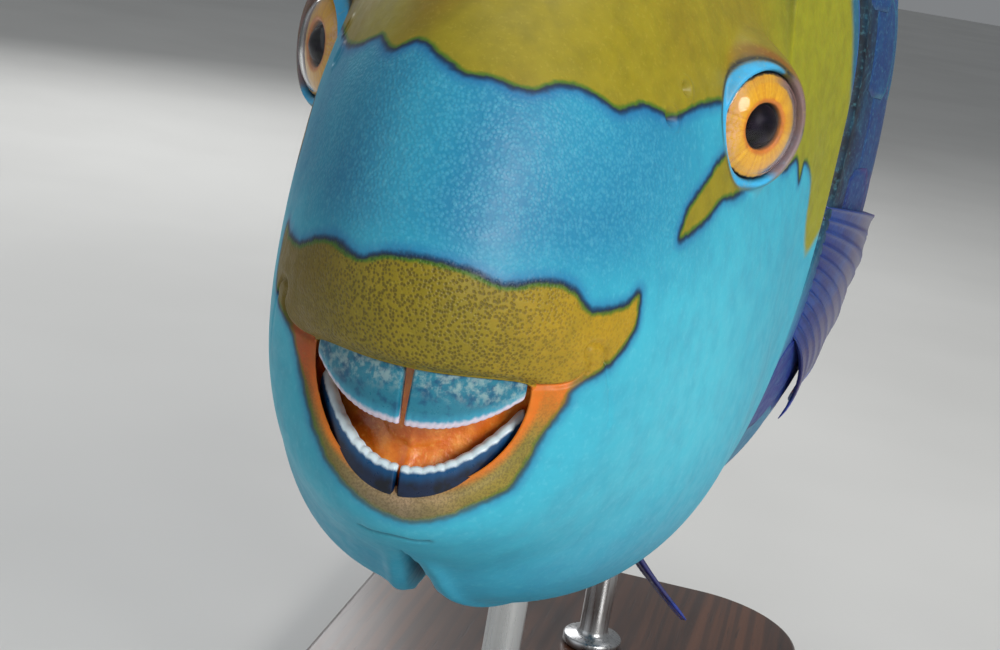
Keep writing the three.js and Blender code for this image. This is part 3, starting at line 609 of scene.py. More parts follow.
ORANGE = linear(0.88, 0.45, 0.08)
DEEP_ORANGE = linear(0.66, 0.27, 0.04)
LIP_GREY = linear(0.50, 0.44, 0.34)
LIP_BEIGE = linear(0.64, 0.54, 0.42)
ORBIT_BLUE = linear(0.22, 0.66, 0.86)
NAVY = linear(0.03, 0.09, 0.16)
EDGE_GREEN = linear(0.14, 0.38, 0.08)
EDGE_NAVY = linear(0.01, 0.10, 0.24)
HALO_BLUE = linear(0.08, 0.34, 0.58)
STRIP_TEAL = linear(0.13, 0.36, 0.45)
MARGIN_BLUE = linear(0.10, 0.30, 0.66)


def mixed(base, colour, weight):
    return base + (colour - base) * np.clip(weight, 0, 1)[:, None]


def painted(u, angle):
    """Values at points of the skin, which the body's material turns into its look."""
    points = skin_at(u, angle)
    x, b, z = points.T
    degrees = wrapped(np.degrees(angle), 90)
    folded = np.where(degrees > 90, 180 - degrees, degrees)
    rough, fine = smooth_noise(points, 26, 3), smooth_noise(points, 9, 5)
    behind, level = ramp(b, 150, 178), (z - 6) / 95
    covers, rear = cover_distance(points)

    def layered(base, *layers):
        """The base colour under layers of (colour, weight)."""
        held = base + np.zeros_like(points)
        for colour, weight in layers:
            held = mixed(held, colour, weight)
        return held

    snout = ramp(z, 14, 34) * ramp(b, 70, 34)
    # The flank is deep cobalt near the gill covers and turns teal rearwards: partly the fish's own colour,
    # partly painted shade behind the covers.
    side = layered(
        COBALT,
        (VIOLET, ramp(rough, -0.2, 0.8) * 0.5),
        (TEAL, ramp(level, -0.1, 0.5) * lerp(0.15, 0.8, ramp(b, 190, 300))),
        (TURQUOISE, ramp(-level, 0.35, 0.8) * 0.85),
        (TEAL, ramp(b, 300, 470) * 0.6),
    )
    wide = lerp(2.5, 14, ramp(z, 20, 56))
    strip = ramp(covers, -wide - 1.2, -wide + 1.2) * (covers < 1) * ramp(z, 14, 30) * rear
    blue = layered(
        TURQUOISE,
        (CHEEK_PALE, bump_at(b, 62, 34) * bump_at(z, -4, 30) * 0.7),
        (SNOUT_BLUE, snout * (0.75 + 0.25 * rough)),
        (CHIN_BLUE, ramp(-z, 18, 50) * ramp(b, 150, 60) * 0.6),
        (side, behind),
        (STRIP_TEAL, strip),
        (MARGIN_BLUE, bump_at(covers, -0.7, 0.8) * ramp(z, 8, 30) * rear),
    )

    lips = lip_distance(u, angle)
    on_lips = ramp(-lips, -1.5, 0.5)
    by_mouth = u < 8
    upper = ramp(folded, 8, 17)
    fringe = ramp(u, 3.55, 3.1) * (0.3 + 0.7 * ramp(np.abs(x), 5, 16)) + ramp(folded, -24, 4) * 0.95
    upper_lip = layered(
        LIP_OLIVE,
        (LIP_YELLOW, ramp(x, 6, 33) * 0.9),
        # painted shade: the upper lip darkens to brown towards the fish's right, the side away from the key
        # light
        (OLIVE_BROWN * 0.7, ramp(-x, 8, 24) * 0.7),
        (DEEP_ORANGE, ramp(-x, 20, 26) * ramp(z, 6, -1)),
    )
    lower_lip = layered(
        LIP_BEIGE,
        (LIP_GREY, ramp(-lips, 5.5, 1.0) + 0.3 * fine),
        # painted light and shade: a lighter copy of the lip's olive on the fish's lit left side, a darker
        # copy on its shaded right
        (LIP_OLIVE * 1.25, ramp(x, 2, 17) * 0.75),
        (LIP_OLIVE * 0.6, ramp(-x, 4, 15) * 0.7),
        (ORANGE, fringe),
        (DEEP_ORANGE, ramp(-x, 14, 22) * ramp(folded, -40, 0)),
    )
    gold = layered(
        OLIVE,
        (OLIVE_BROWN, ramp(rough + (degrees - 90) / 60, 0.1, 1.3) * 0.8),
        (OLIVE_BROWN, ramp(b, 60, 100) * bump_at(folded, 60, 26) * 0.4),
        (OLIVE_GREEN, ramp(b, 84, 110) * ramp(b, 200, 160) * 0.6),
        (mixed(lower_lip, upper_lip, upper), on_lips * by_mouth),
    )

    edge = marking_distance(u, angle)
    corner = lerp(0.5, 0.75, ramp(np.abs(x), 10, 20))
    line = 1 - (1 - upper) * (1 - corner) * ramp(6 - lips, 0, 2) * by_mouth
    line = line * ramp(b, 140, 118)
    both = np.stack([blue, gold])
    for _, eye_side in SIDES:
        local, radius = seen_by_eye(points, eye_side)
        ahead = np.arctan2(local[:, 1], -local[:, 0] * eye_side)  # 0 towards the beak, a quarter turn up
        turned = (ahead - 0.75 + math.pi) % (2 * math.pi) - math.pi
        wide = 2.6 * np.clip(np.cos(np.clip(1.3 * turned, -1.57, 1.57)), 0, 1)
        wide += 1.4 * bump_at(ahead, -1.1, 1.1)
        band = 11.2 + wide
        near = (radius < 18) & (x * eye_side > 10)
        rear_side = near * ramp(np.abs(ahead), 1.95, 2.25)
        brow = ramp(radius, band + 0.4, band + 1) * ramp(radius, band + 3.4, band + 1.8)
        both[1] = mixed(both[1], BROW_BROWN, near * brow * bump_at(ahead, 1.65, 0.75))
        both[0] = mixed(both[0], OLIVE_GREEN, rear_side * ramp(radius, 13, 12.4))
        outline = near * bump_at(radius, band + 0.4, 0.5) * lerp(0.4, 1, ramp(np.sin(ahead), -0.4, 0.5))
        both = layered(
            both,
            (ORBIT_BLUE, near * ramp(radius, band + 0.3, band - 0.3) * ramp(wide, 0.05, 0.4)),
            (NAVY, outline),
            (NAVY, near * ramp(radius, 11.2, 10.7)),
            (LIMBAL_PINK, rear_side * bump_at(radius, 11.2, 1.1)),
        )
        line = line * (1 - near * ramp(radius, band + 1.2, band + 0.2))
    # Painted shade in the open gill slits: near-black navy at the covers' rear edge, fading back over the
    # flank; partly the dark skin of the gill opening.
    shade = 1 - 0.6 * ramp(covers, 9, 42) - 0.4 * ramp(covers, 30, 80)
    # The V between the gill covers is painted dark reddish brown, partly the tissue there and partly painted
    # shade in the notch; the chin fold gets a thin painted shade line.
    throat = ramp(throat_distance(points), 0.1, 1.5) * ramp(b, THROAT_REAR, 120) * (b > 14)
    throat = np.maximum(throat, 0.5 * bump_at(route_distance(CHIN_FOLD, u, points), 0, 0.8))
    blue, gold = layered(
        both,
        (NAVY * 0.25, ramp(covers, 0.3, 1.4) * shade * rear * gape(z)),
        (THROAT_SHADE_BROWN, throat * 0.9),
    )
    return {
        "blue": blue,
        "gold": gold,
        "edge": edge,
        "line": line,
        "pits": on_lips * upper * lerp(1, 0.25, ramp(np.abs(x - 2), 10, 30)) * (u > 3.1) * by_mouth,
        "pebbles": snout * ramp(edge, 0, 3) * ramp(u, 7.6, 6.9),
        "speckle": on_lips * (1 - upper) * (1 - 0.8 * fringe) * by_mouth,
    }


# Materials, as short graphs of nodes

class Graph:
    """A material's node tree with a principled shader; colours given as tuples are sRGB shares."""

    def __init__(self, name, **settings):
        self.material = bpy.data.materials.new(name)
        self.material.use_nodes = True
        self.tree = self.material.node_tree
        self.shader = self.tree.nodes["Principled BSDF"]
        for socket, value in settings.items():
            self.shader.inputs[socket.replace("_", " ")].default_value = value

    def node(self, kind, settings=None, **inputs):
        """A new node; inputs are fed by their names, or by i and their numbers."""
        made = self.tree.nodes.new("ShaderNode" + kind)
        for key, value in (settings or {}).items():
            setattr(made, key, value)
        for key, value in inputs.items():
            self.feed(value, made.inputs[int(key[1:]) if key[1:].isdigit() else key])
        return made

    def feed(self, value, socket):
        if isinstance(value, bpy.types.NodeSocket):
            self.tree.links.new(value, socket)
        elif socket.type == "RGBA":
            colour = linear(*value) if isinstance(value, tuple) else value
            socket.default_value = (*map(float, colour), 1)
        else:
            socket.default_value = value

    def attribute(self, name, vector=False):
        return self.node("Attribute", {"attribute_name": name}).outputs["Vector" if vector else "Fac"]

    def place(self):
        return self.node("TexCoord").outputs["Object"]

    def stretched(self, *scale):
        return self.node("Mapping", Vector=self.place(), Scale=scale).outputs[0]

    def noise(self, scale, detail=3, roughness=0.55, vector=None, distortion=0):
        made = self.node("TexNoise", Vector=vector or self.place(), Scale=scale, Detail=detail,
                         Roughness=roughness, Distortion=distortion)
        return made.outputs["Fac"]

    def waves(self, vector, **inputs):
        settings = {"wave_type": "BANDS", "bands_direction": "X"}
        return self.node("TexWave", settings, Vector=vector, **inputs).outputs["Fac"]

    def cells(self, scale):
        return self.node("TexVoronoi", Vector=self.place(), Scale=scale, Randomness=1.0).outputs["Distance"]

    def math(self, operation, a, b=0.0, c=0.0):
        return self.node("Math", {"operation": operation}, i0=a, i1=b, i2=c).outputs[0]

    def times(self, a, b):
        return self.math("MULTIPLY", a, b)

    def add(self, value, weight, base):
        return self.math("MULTIPLY_ADD", value, weight, base)

    def wander(self, value, amount, noise):
        """The value made to wander by a noise."""
        return self.add(self.math("SUBTRACT", noise, 0.5), amount, value)

    def ramp(self, value, low, high, to_low=0.0, to_high=1.0):
        return self.node("MapRange", {"interpolation_type": "SMOOTHSTEP"}, i0=value, i1=low, i2=high,
                         i3=to_low, i4=to_high).outputs[0]

    def mix(self, weight, a, b):
        return self.node("Mix", {"data_type": "RGBA"}, i0=weight, i6=a, i7=b).outputs[2]

    def layers(self, colour, *layers):
        """A colour under layers of (weight, colour)."""
        for weight, layer in layers:
            colour = self.mix(weight, colour, layer)
        return colour

    def done(self, colour, roughness=None, bump=None):
        """The material, given its colour, a ramp for its roughness and its bump's height, strength and mm."""
        self.feed(colour, self.shader.inputs["Base Color"])
        if roughness:
            self.feed(self.ramp(*roughness), self.shader.inputs["Roughness"])
        if bump:
            height, strength, depth = bump
            made = self.node("Bump", Height=height, Strength=strength, Distance=depth * MM)
            self.feed(made.outputs["Normal"], self.shader.inputs["Normal"])
        return self.material


def body_material(name, scaled):
    """Skin and scales: blue and gold fields parted by a green and a navy line, with pits and pebbles."""
    g = Graph(name, Coat_Weight=0.08, Coat_Roughness=0.35, Specular_IOR_Level=0.35, Subsurface_Weight=0.05,
              Subsurface_Scale=0.003)
    edge = g.wander(g.attribute("edge"), 1.1, g.noise(420, 2))
    line = g.attribute("line")
    pebbles = g.times(g.ramp(g.cells(1400), 0.2, 0.7, 1, 0), g.attribute("pebbles"))
    pits = g.times(g.ramp(g.cells(1550), 0.22, 0.62, 1, 0), g.attribute("pits"))
    speckle = g.times(g.ramp(g.noise(2600, 2), 0.42, 0.62), g.attribute("speckle"))
    blue = g.layers(
        g.attribute("blue", True),
        (g.ramp(g.noise(160, 4), 0.35, 0.75, 0, 0.22), (0.10, 0.42, 0.58)),
        (g.ramp(g.noise(900, 2), 0.5, 0.8, 0, 0.16), (0.5, 0.82, 0.88)),
        (g.times(pebbles, 0.22), (0.32, 0.68, 0.78)),
        (g.times(g.ramp(edge, 0.3, 3.2, 0.6, 0), line), HALO_BLUE),
    )
    gold = g.layers(
        g.attribute("gold", True),
        (g.ramp(g.noise(230, 4), 0.3, 0.8, 0, 0.35), (0.36, 0.34, 0.06)),
        (g.times(g.ramp(g.noise(1300, 2), 0.55, 0.75), 0.16), (0.72, 0.66, 0.26)),
        (g.times(pits, 0.55), (0.20, 0.15, 0.03)),
        (g.times(speckle, 0.42), (0.24, 0.20, 0.13)),
        (g.times(g.times(g.ramp(edge, -1.2, -0.4), line), 0.8), EDGE_GREEN),
    )
    soft = g.math("SUBTRACT", 1.0, line)
    navy = g.times(g.ramp(edge, -0.5, 0.1), g.ramp(edge, 0.15, 1.3, 1, 0))
    colour = g.layers(
        gold,
        (g.ramp(edge, g.times(soft, -1.6), g.add(soft, 1.6, 0.3)), blue),
        (g.times(navy, g.times(line, 0.88)), EDGE_NAVY),
    )
    if scaled:
        margin = g.ramp(g.wander(g.attribute("rim"), 1.6, g.noise(700, 3)), 0.6, 3.4, 1, 0)
        rays = g.waves(g.attribute("scale_place", True), Scale=0.55, Distortion=1.2)
        colour = g.layers(
            colour,
            (g.times(margin, g.attribute("rimmed")), g.attribute("rim_colour", True)),
            (g.times(rays, 0.10), (0.04, 0.14, 0.22)),
        )
    height = g.add(pits, -0.7, g.add(pebbles, 0.28, g.times(g.noise(600, 4), 0.22)))
    return g.done(colour, (g.noise(300, 3), 0.3, 0.7, 0.46, 0.6), (height, 0.55, 0.35))


# The skin as one piece

def coat_depth(points):
    """How deep the skin lies inside the solids, which is where the scales have room."""
    b, z = points[..., 1], points[..., 2]
    nape = ramp(b, 116, 132) * ramp(z, 78, 90)
    return 0.15 + 0.8 * np.maximum(ramp(b, 150, 168), 0.6 * nape)


def build_skin():
    u, angle, faces = refined_grid()
    points = place(formed(u, angle, coat_depth(skin_at(u, angle))))
    nodes = ["head", "lower_jaw", "gill_cover_left", "gill_cover_right", "torso", "tail_stem"]
    piece("skin", points, faces, body_material("skin_paint", False), nodes, painted(u, angle), False)


# Scales: thin closed plates in staggered rows over the skin, each rising to a rounded free edge behind

SCALE_AT = [120, 165, 300, 480]  # b at which the next two hold
SCALE_LONG = [12, 14, 12.5, 8.6]  # spacing along a row
SCALE_TALL = [20, 23, 20, 12]  # between rows
SCALE_ROWS = 9  # above and below the middle of the side
SCALE_LAST = 499
SCALE_RISE = 0.78
SCALE_THICK = 0.3
SCALES_PER_PIECE = 230
BAKE_PATCH = 0.003
ACROSS = np.linspace(-1, 1, 15)
ALONG = np.array([0, 0.26, 0.42, 0.52, 0.62, 0.71, 0.79, 0.86, 0.92, 0.965, 1])


class Flank:
    """Tables over the left side of the skin that turn a place b and a distance q round it into an angle."""

    def __init__(self):
        self.u = np.linspace(9, LAST, 500)
        angles = np.radians(np.linspace(-140, 140, 561))
        grid = skin_at(self.u[:, None], angles[None, :])
        steps = np.linalg.norm(np.diff(grid, axis=1), axis=2)
        arc = np.hstack([np.zeros((len(self.u), 1)), np.cumsum(steps, 1)])
        arc -= arc[:, [280]]
        self.b = grid[:, 280, 1]
        self.top, self.bottom = arc[:, 460], arc[:, 100]
        self.q = np.linspace(-190, 190, 761)
        self.angle = np.array([np.interp(self.q, row, angles) for row in arc])

    def at(self, b, q):
        """u and the angle at a place b and a distance q round."""
        u = np.interp(b, self.b, self.u)
        row = np.clip((u - 9) / (LAST - 9) * 499, 0, 498.999)
        column = np.clip((q + 190) * 2, 0, 759.999)
        i, j = row.astype(int), column.astype(int)
        di, dj = row - i, column - j
        near = lerp(self.angle[i, j], self.angle[i, j + 1], dj)
        far = lerp(self.angle[i + 1, j], self.angle[i + 1, j + 1], dj)
        return u, lerp(near, far, di)


def scale_anchors(flank):
    """Arrays of b at the free edges, of row numbers, 99 and -99 for the back and belly, and of sides."""
    b_values = np.linspace(118, SCALE_LAST, 2000)
    count = np.cumsum(1 / np.interp(b_values, SCALE_AT, SCALE_LONG)) * (b_values[1] - b_values[0])
    anchors = []
    for row in range(-SCALE_ROWS, SCALE_ROWS + 1):
        for number in np.arange(0, int(count[-1])) + (0.5 if row % 2 else 0):
            b = np.interp(number, count, b_values)
            tall = np.interp(b, SCALE_AT, SCALE_TALL)
            low, high = np.interp(b, flank.b, flank.bottom), np.interp(b, flank.b, flank.top)
            if low + 0.2 * tall < row * tall < high - 0.2 * tall:
                anchors += [(b, row, 1), (b, row, -1)]
    for row, first, last in ((99, 132, 166), (-99, 150, 350)):
        for number in np.arange(np.interp(first, b_values, count), np.interp(last, b_values, count)):
            anchors.append((np.interp(number, count, b_values), row, 1))
    return np.array(anchors).T


def on_scaled_skin(u, angle):
    """Which roots lie behind the gill covers, or on the nape above them."""
    root = skin_at(u, angle)
    distance, _ = cover_distance(root)
    clear = distance > 5 + 8.5 * gape(root[:, 2])
    return clear & ((root[:, 1] > 156) | ((root[:, 2] > 88) & (root[:, 1] > 116)))


def build_scales():
    rng = np.random.default_rng(21)
    flank = Flank()
    b, row, side = scale_anchors(flank)
    length = 2.0 * np.interp(b, SCALE_AT, SCALE_LONG) * rng.uniform(0.97, 1.03, len(b))
    half = 0.62 * np.interp(b, SCALE_AT, SCALE_TALL) * rng.uniform(0.96, 1.04, len(b))
    rise = SCALE_RISE * rng.uniform(0.9, 1.08, len(b)) * lerp(0.6, 1, ramp(b, 150, 185))

    def placed_on_flank(at_b, row, side, beside=0):
        """u and the angle at a place in a row, on the side where it belongs."""
        q = row * np.interp(at_b, SCALE_AT, SCALE_TALL)
        q = np.where(row == 99, np.interp(at_b, flank.b, flank.top), q)
        q = np.where(row == -99, np.interp(at_b, flank.b, flank.bottom), q)
        u, angle = flank.at(at_b, q + beside)
        return u, np.where(side > 0, angle, math.pi - angle)

    keep = on_scaled_skin(*placed_on_flank(b - length, row, 1))
    b, row, side, length, half, rise = (v[keep] for v in (b, row, side, length, half, rise))
    root_u, root_angle = placed_on_flank(b - length, row, 1)
    paint = scale_colours(*placed_on_flank(b - 0.3 * length, row, side), rng)
    patch = bake_place(flank, root_u, root_angle, side)[:, None, None, :]
    b, row, side, length, half, rise = (v[:, None, None] for v in (b, row, side, length, half, rise))

    along, across = ALONG[None, :, None], ACROSS[None, None, :]
    margin = 1 - 0.42 * (1 - np.sqrt(1 - (0.97 * across) ** 2))
    local_x = length * along * margin
    local_y = half * across * lerp(0.72, 1, ramp(along, 0, 0.45))
    u, angle = placed_on_flank(b - length + local_x, row, side, local_y)
    height = lerp(-0.15, rise, along) + 0.12 * along * (1 - across**2) - 0.16 * across**4 * along
    height = height + np.where(np.abs(row) == 99, 0.12, 0)
    surface, normal = skin_at(u, angle), skin_normal(u, angle)
    top = surface + normal * (height - coat_depth(surface.reshape(-1, 3)).reshape(u.shape))[..., None]
    rim = length * (1 - along) * margin + 0 * across
    rim = np.minimum(rim, half * (1 - np.abs(across)) * 1.1 + 0.15 * length * (1 - along))
    count, size = len(b), len(ALONG) * len(ACROSS)
    held = {
        "points": np.stack([top, top - normal * SCALE_THICK], 1),
        "rim": np.stack([rim, rim], 1),
        "scale_place": np.stack([stack(local_x, local_y, 37.0 * np.arange(count)[:, None, None])] * 2, 1),
        "uv": np.stack([patch + BAKE_PATCH * stack(along, 0.5 * across)] * 2, 1),
    }
    material = body_material("scale_paint", True)
    for first in range(0, count, SCALES_PER_PIECE):
        chosen = slice(first, first + SCALES_PER_PIECE)
        values = {key: np.repeat(v[chosen], 2 * size, axis=0) for key, v in paint.items()}
        values |= {key: v[chosen].reshape(-1, *v.shape[4:]) for key, v in held.items()}
        points, uv = values.pop("points"), values.pop("uv")
        faces = plate_faces(len(ALONG), len(ACROSS), len(points) // (2 * size))
        name = f"scales_{first // SCALES_PER_PIECE + 1}"
        mesh = piece(name, place(points), faces, material, (), values, False).data
        corners = np.zeros(len(mesh.loops), int)
        mesh.loops.foreach_get("vertex_index", corners)
        mesh.uv_layers.new(name="OFBake").data.foreach_set("uv", uv[corners].ravel())


def bake_place(flank, u, angle, side):
    """Where a root lies on an unwrap of the skin, slit along the belly."""
    girth = flank.top - flank.bottom
    share = np.interp(u, flank.u, girth) / girth.max()
    return stack(0.5 + 0.48 * (0.5 - angle / math.pi) * side * share, np.interp(u, flank.u, flank.b) / 600)


def scale_colours(u, angle, rng):
    """Colours of whole scales: the skin's own at each, a little varied, with a margin of another colour."""
    paint = painted(u, angle)
    _, b, z = skin_at(u, angle).T
    count = len(u)
    olive = ramp(paint["edge"] + rng.uniform(-7, 7, count), 8, -10)
    # The skin's blue here already holds the painted shade of the gill slits and the front flank.
    body = paint["blue"] * rng.uniform(0.86, 1.12, (count, 1))
    body = mixed(body, VIOLET, rng.uniform(0, 0.3, count) * ramp(b, 180, 260))
    body = mixed(body, paint["gold"] * rng.uniform(0.85, 1.1, (count, 1)), olive)
    level = (z - 6) / 95
    margin = mixed(np.tile(PLUM, (count, 1)), EDGE_TURQUOISE, ramp(level, 0.1, 0.6))
    plain = {key: np.zeros(count) for key in ("line", "pits", "pebbles", "speckle")}
    return plain | {
        "blue": body,
        "gold": body,
        "edge": np.full(count, 12.0),
        "rimmed": ramp(b, 180, 215) * (1 - 0.75 * olive) * rng.uniform(0.55, 1, count),
        "rim_colour": mixed(margin, VIOLET, ramp(-level, 0.3, 0.8) * 0.6),
    }


# Eyes

def lathe(profile, sides):
    """Points and faces of a body turned about z from (radius, z) points that start and end on the axis."""
    turn = np.arange(sides) / sides * 2 * math.pi
    rings = [stack(r * np.cos(turn), r * np.sin(turn), z) for r, z in profile[1:-1]]
    return tube(rings, [0, 0, profile[0][1]], [0, 0, profile[-1][1]])


def eye_piece(name, side, profile, sides, material, nodes=(), shape=None):
    local, faces = lathe(profile, sides)
    middle, axes = eye_frame(side)
    values = {
        "rho": np.hypot(local[:, 0], local[:, 1]),
        "polar": local * [1, 1, 0],
        "ahead": -local[:, 0] * side,
    }
    points = shape(local) if shape else local
    piece(name, place(middle + points @ axes), faces, material, nodes, values)


PUPIL = 4.5
IRIS = 10.3
DOME_CENTRE = -(EYE["depth"] - EYE["proud"])


def dome_height(radius, inset=0.0):
    share = np.clip(radius / (EYE["radius"] - inset), 0, 1)
    return DOME_CENTRE + (EYE["depth"] - inset) * np.sqrt(1 - share**2)


def pupil_shape(points):
    """The pupil is larger than a plain circle, more so across than up."""
    radius = np.hypot(points[:, 0], points[:, 1])
    weight = ramp(radius, IRIS - 1, PUPIL + 0.6)
    stretched = points.copy()
    stretched[:, 0] *= 1 + 0.1 * weight
    stretched[:, 1] *= 1 + 0.05 * weight
    return stretched


def iris_material():
    g = Graph("iris", Coat_Weight=0.6, Coat_Roughness=0.05)
    rho, polar, ahead = g.attribute("rho"), g.attribute("polar", True), g.attribute("ahead")
    wander = g.wander(rho, 0.9, g.noise(0.9, 3, vector=polar))
    rays = g.node("VectorMath", {"operation": "NORMALIZE"}, i0=polar).outputs[0]
    streaks = g.noise(9.0, 6, 0.65, vector=rays)
    mottle = g.noise(1.3, 4, vector=polar)
    colour = g.layers(
        (0.96, 0.73, 0.09),
        (g.ramp(streaks, 0.3, 0.7), (0.88, 0.59, 0.04)),
        (g.ramp(mottle, 0.45, 0.75, 0, 0.5), (0.98, 0.78, 0.26)),
        (g.times(g.ramp(ahead, 5.0, 7.4), g.ramp(mottle, 0.35, 0.6, 0, 0.4)), (0.93, 0.70, 0.62)),
        (g.ramp(wander, PUPIL + 0.4, PUPIL + 1.3, 0.75, 0), (0.86, 0.42, 0.03)),
        (g.times(g.ramp(wander, 8.3, 8.9), g.ramp(ahead, 0.0, -5.0, 0.1, 1)), (0.56, 0.44, 0.42)),
        (g.ramp(wander, 9.9, 10.4), (0.05, 0.05, 0.07)),
        (g.ramp(rho, PUPIL - 0.2, PUPIL + 0.1, 1, 0), (0.05, 0.03, 0.07)),
    )
    return g.done(colour, (mottle, 0.3, 0.7, 0.3, 0.45), (streaks, 0.3, 0.4))


def lens_material():
    g = Graph("lens", Specular_IOR_Level=0.1)
    cloud = g.noise(380, 3)
    colour = g.mix(g.ramp(cloud, 0.35, 0.7), (0.03, 0.02, 0.05), (0.10, 0.07, 0.15))
    return g.done(colour, (cloud, 0.3, 0.7, 0.3, 0.4))


def cornea_material():
    g = Graph("cornea", Transmission_Weight=1.0, IOR=1.22, Roughness=0.03)
    return g.done(g.mix(g.ramp(g.noise(90, 2), 0.4, 0.6, 0, 0.1), (1, 1, 1), (0.93, 0.97, 1)))


def build_eyes():
    iris, lens, cornea = iris_material(), lens_material(), cornea_material()
    front = [(0, -1.6), (PUPIL * 0.5, -1.5), (PUPIL * 0.96, -1.1), (PUPIL, -0.2), (PUPIL + 0.35, 0.12)]
    front += [(r, 0.12 - 0.035 * (r - PUPIL) ** 2) for r in np.linspace(PUPIL + 1, IRIS, 12)]
    rim = [(IRIS + 0.3, -1.5), (11.0, -2.2), (11.45, -3.0), (11.75, -4.3)]
    back = [(11.75 * math.cos(t), DOME_CENTRE - 6.6 * math.sin(t)) for t in np.linspace(0.15, 1.5, 10)]
    ball = front + rim + back + [(0, DOME_CENTRE - 6.7)]
    pupil = [(4.3 * math.sin(t), -2.6 + 3.9 * math.cos(t)) for t in np.linspace(0, 2.2, 18)] + [(0, -4.9)]
    outer = [(r, dome_height(r)) for r in np.sin(np.linspace(0, 1.18, 22)) * EYE["radius"]]
    inner = [(max(r - 0.28, 0), dome_height(r, 0.3) - 0.12) for r, _ in reversed(outer)]
    for side_name, side in SIDES:
        eye_piece(f"eye_ball_{side_name}", side, ball, 96, iris, [f"eye_{side_name}"], pupil_shape)
        eye_piece(f"pupil_{side_name}", side, pupil, 64, lens, shape=pupil_shape)
        eye_piece(f"cornea_{side_name}", side, outer + inner, 96, cornea)


# The beak: four plates that bow back at the sides, with a wavy, whitish cutting edge

BEAK = {
    "upper": {"front": 1.2, "bow": 10, "reach": 18.9, "gap_top": 1.1, "gap_edge": 0.5},
    "lower": {"front": 4.6, "bow": 10.5, "reach": 18.8, "gap_top": 0.35, "gap_edge": 0.3},
}
BEAK_THICKNESS = 3.2
BEAK_STEPS = 120
NIBS = {"upper": (1.25, 0.16), "lower": (1.9, 0.26)}  # width and height of the cutting edge's scallops


def beak_heights(jaw, share):
    if jaw == "upper":
        return -5.4 + 6.2 * share**2.6, 9 - 1.5 * share
    return -13.6 + 11.5 * share**2.2, -21.4 + 11.4 * share**2


def beak_plate(jaw, side):
    """Points and faces of one tooth plate, and how far each point lies from its cutting edge and its root."""
    sizes = BEAK[jaw]
    reach, bow = sizes["reach"], sizes["bow"]
    wide, tall = NIBS[jaw]
    toward = -1 if jaw == "upper" else 1
    sections, bites, roots = [], [3.0], [3.0]
    for share in np.arange(BEAK_STEPS + 1) / BEAK_STEPS:
        edge, root = beak_heights(jaw, share)
        along = share * reach
        scallop = abs(math.sin((along + 0.25 * math.sin(along * 0.9)) * math.pi / wide))
        edge += toward * tall * (scallop - 1)
        lean = math.atan(2 * bow / reach * share)
        knots = [
            (0.55, edge), (0.05, lerp(edge, root, 0.035)), (-0.35, lerp(edge, root, 0.12)),
            (-0.5, lerp(edge, root, 0.32)), (-0.35, lerp(edge, root, 0.6)), (0, root), (1.6, root + 0.01),
            (BEAK_THICKNESS, root), (2.7, lerp(root, edge, 0.3)), (1.9, lerp(root, edge, 0.9)),
            (1.25, lerp(root, edge, 0.985)),
        ]
        depth, z = catmull_rom(knots, True, 5).T
        depth = lerp(depth, 1.2, 0.35 * ramp(share, 0.02, 0) + 0.35 * ramp(share, 0.98, 1))
        gap = lerp(sizes["gap_top"], sizes["gap_edge"], np.clip((z - root) / (edge - root), 0, 1))
        x = lerp(gap, reach, share)
        b = sizes["front"] + bow * (x / reach) ** 2
        sections.append(stack(side * (x - math.sin(lean) * depth), b + math.cos(lean) * depth, z))
        bites.extend(np.abs(z - edge))
        roots.extend(np.abs(z - root))
    points, faces = tube(sections, sections[0].mean(0), sections[-1].mean(0))
    return points, faces, {"bite": np.array(bites + [3.0]), "root": np.array(roots + [3.0])}


def beak_material(name, body, deep, bright, chalky, edge_colour, edge_width):
    """Enamel, darker in clouds, brighter towards the bite, with chalky patches and a pale cutting edge."""
    g = Graph(name, Specular_IOR_Level=0.4, Subsurface_Weight=0.04, Subsurface_Scale=0.001)
    bite, root = g.attribute("bite"), g.attribute("root")
    cloud = g.noise(380, 5, 0.6)
    chalk = g.times(g.ramp(g.noise(700, 5, 0.6), 0.42, 0.66), g.ramp(root, 9.5, 5.5, 0, chalky))
    wander = g.wander(bite, 0.6 * edge_width, g.noise(900, 3))
    colour = g.layers(
        body,
        (g.ramp(cloud, 0.44, 0.64), deep),
        (g.ramp(bite, 3.4, 0.9, 0, 0.75), bright),
        (chalk, (0.56, 0.66, 0.66)),
        (g.ramp(wander, edge_width * 0.4, edge_width, 1, 0), edge_colour),
    )
    height = g.add(g.noise(1500, 3), 0.35, g.times(cloud, 0.4))
    return g.done(colour, (cloud, 0.3, 0.7, 0.26, 0.42), (height, 0.35, 0.25))


def build_beak():
    paints = {
        "upper": beak_material("beak_upper", (0.12, 0.44, 0.53), (0.05, 0.31, 0.44), (0.24, 0.62, 0.74), 0.7,
                               (0.82, 0.78, 0.84), 1.7),
        "lower": beak_material("beak_lower", (0.01, 0.10, 0.22), (0.005, 0.04, 0.10), (0.05, 0.31, 0.50), 0.0,
                               (0.80, 0.87, 0.90), 1.15),
    }
    for jaw, paint in paints.items():
        for side_name, side in SIDES:
            points, faces, values = beak_plate(jaw, side)
            end = f"{jaw}_{side_name}"
            piece(f"plate_{end}", place(points), faces, paint, [f"beak_{end}"], values)


# The orange tissue inside the mouth, as (b, top, bottom, width, bow) rings
LINING = [(9.5, 1, -12, 8, 4), (6.4, 8.5, -18, 16, 8), (7.5, 10, -23, 23.5, 10), (21, 9, -21, 19, 3),
          (27, 5, -15, 12, 0)]


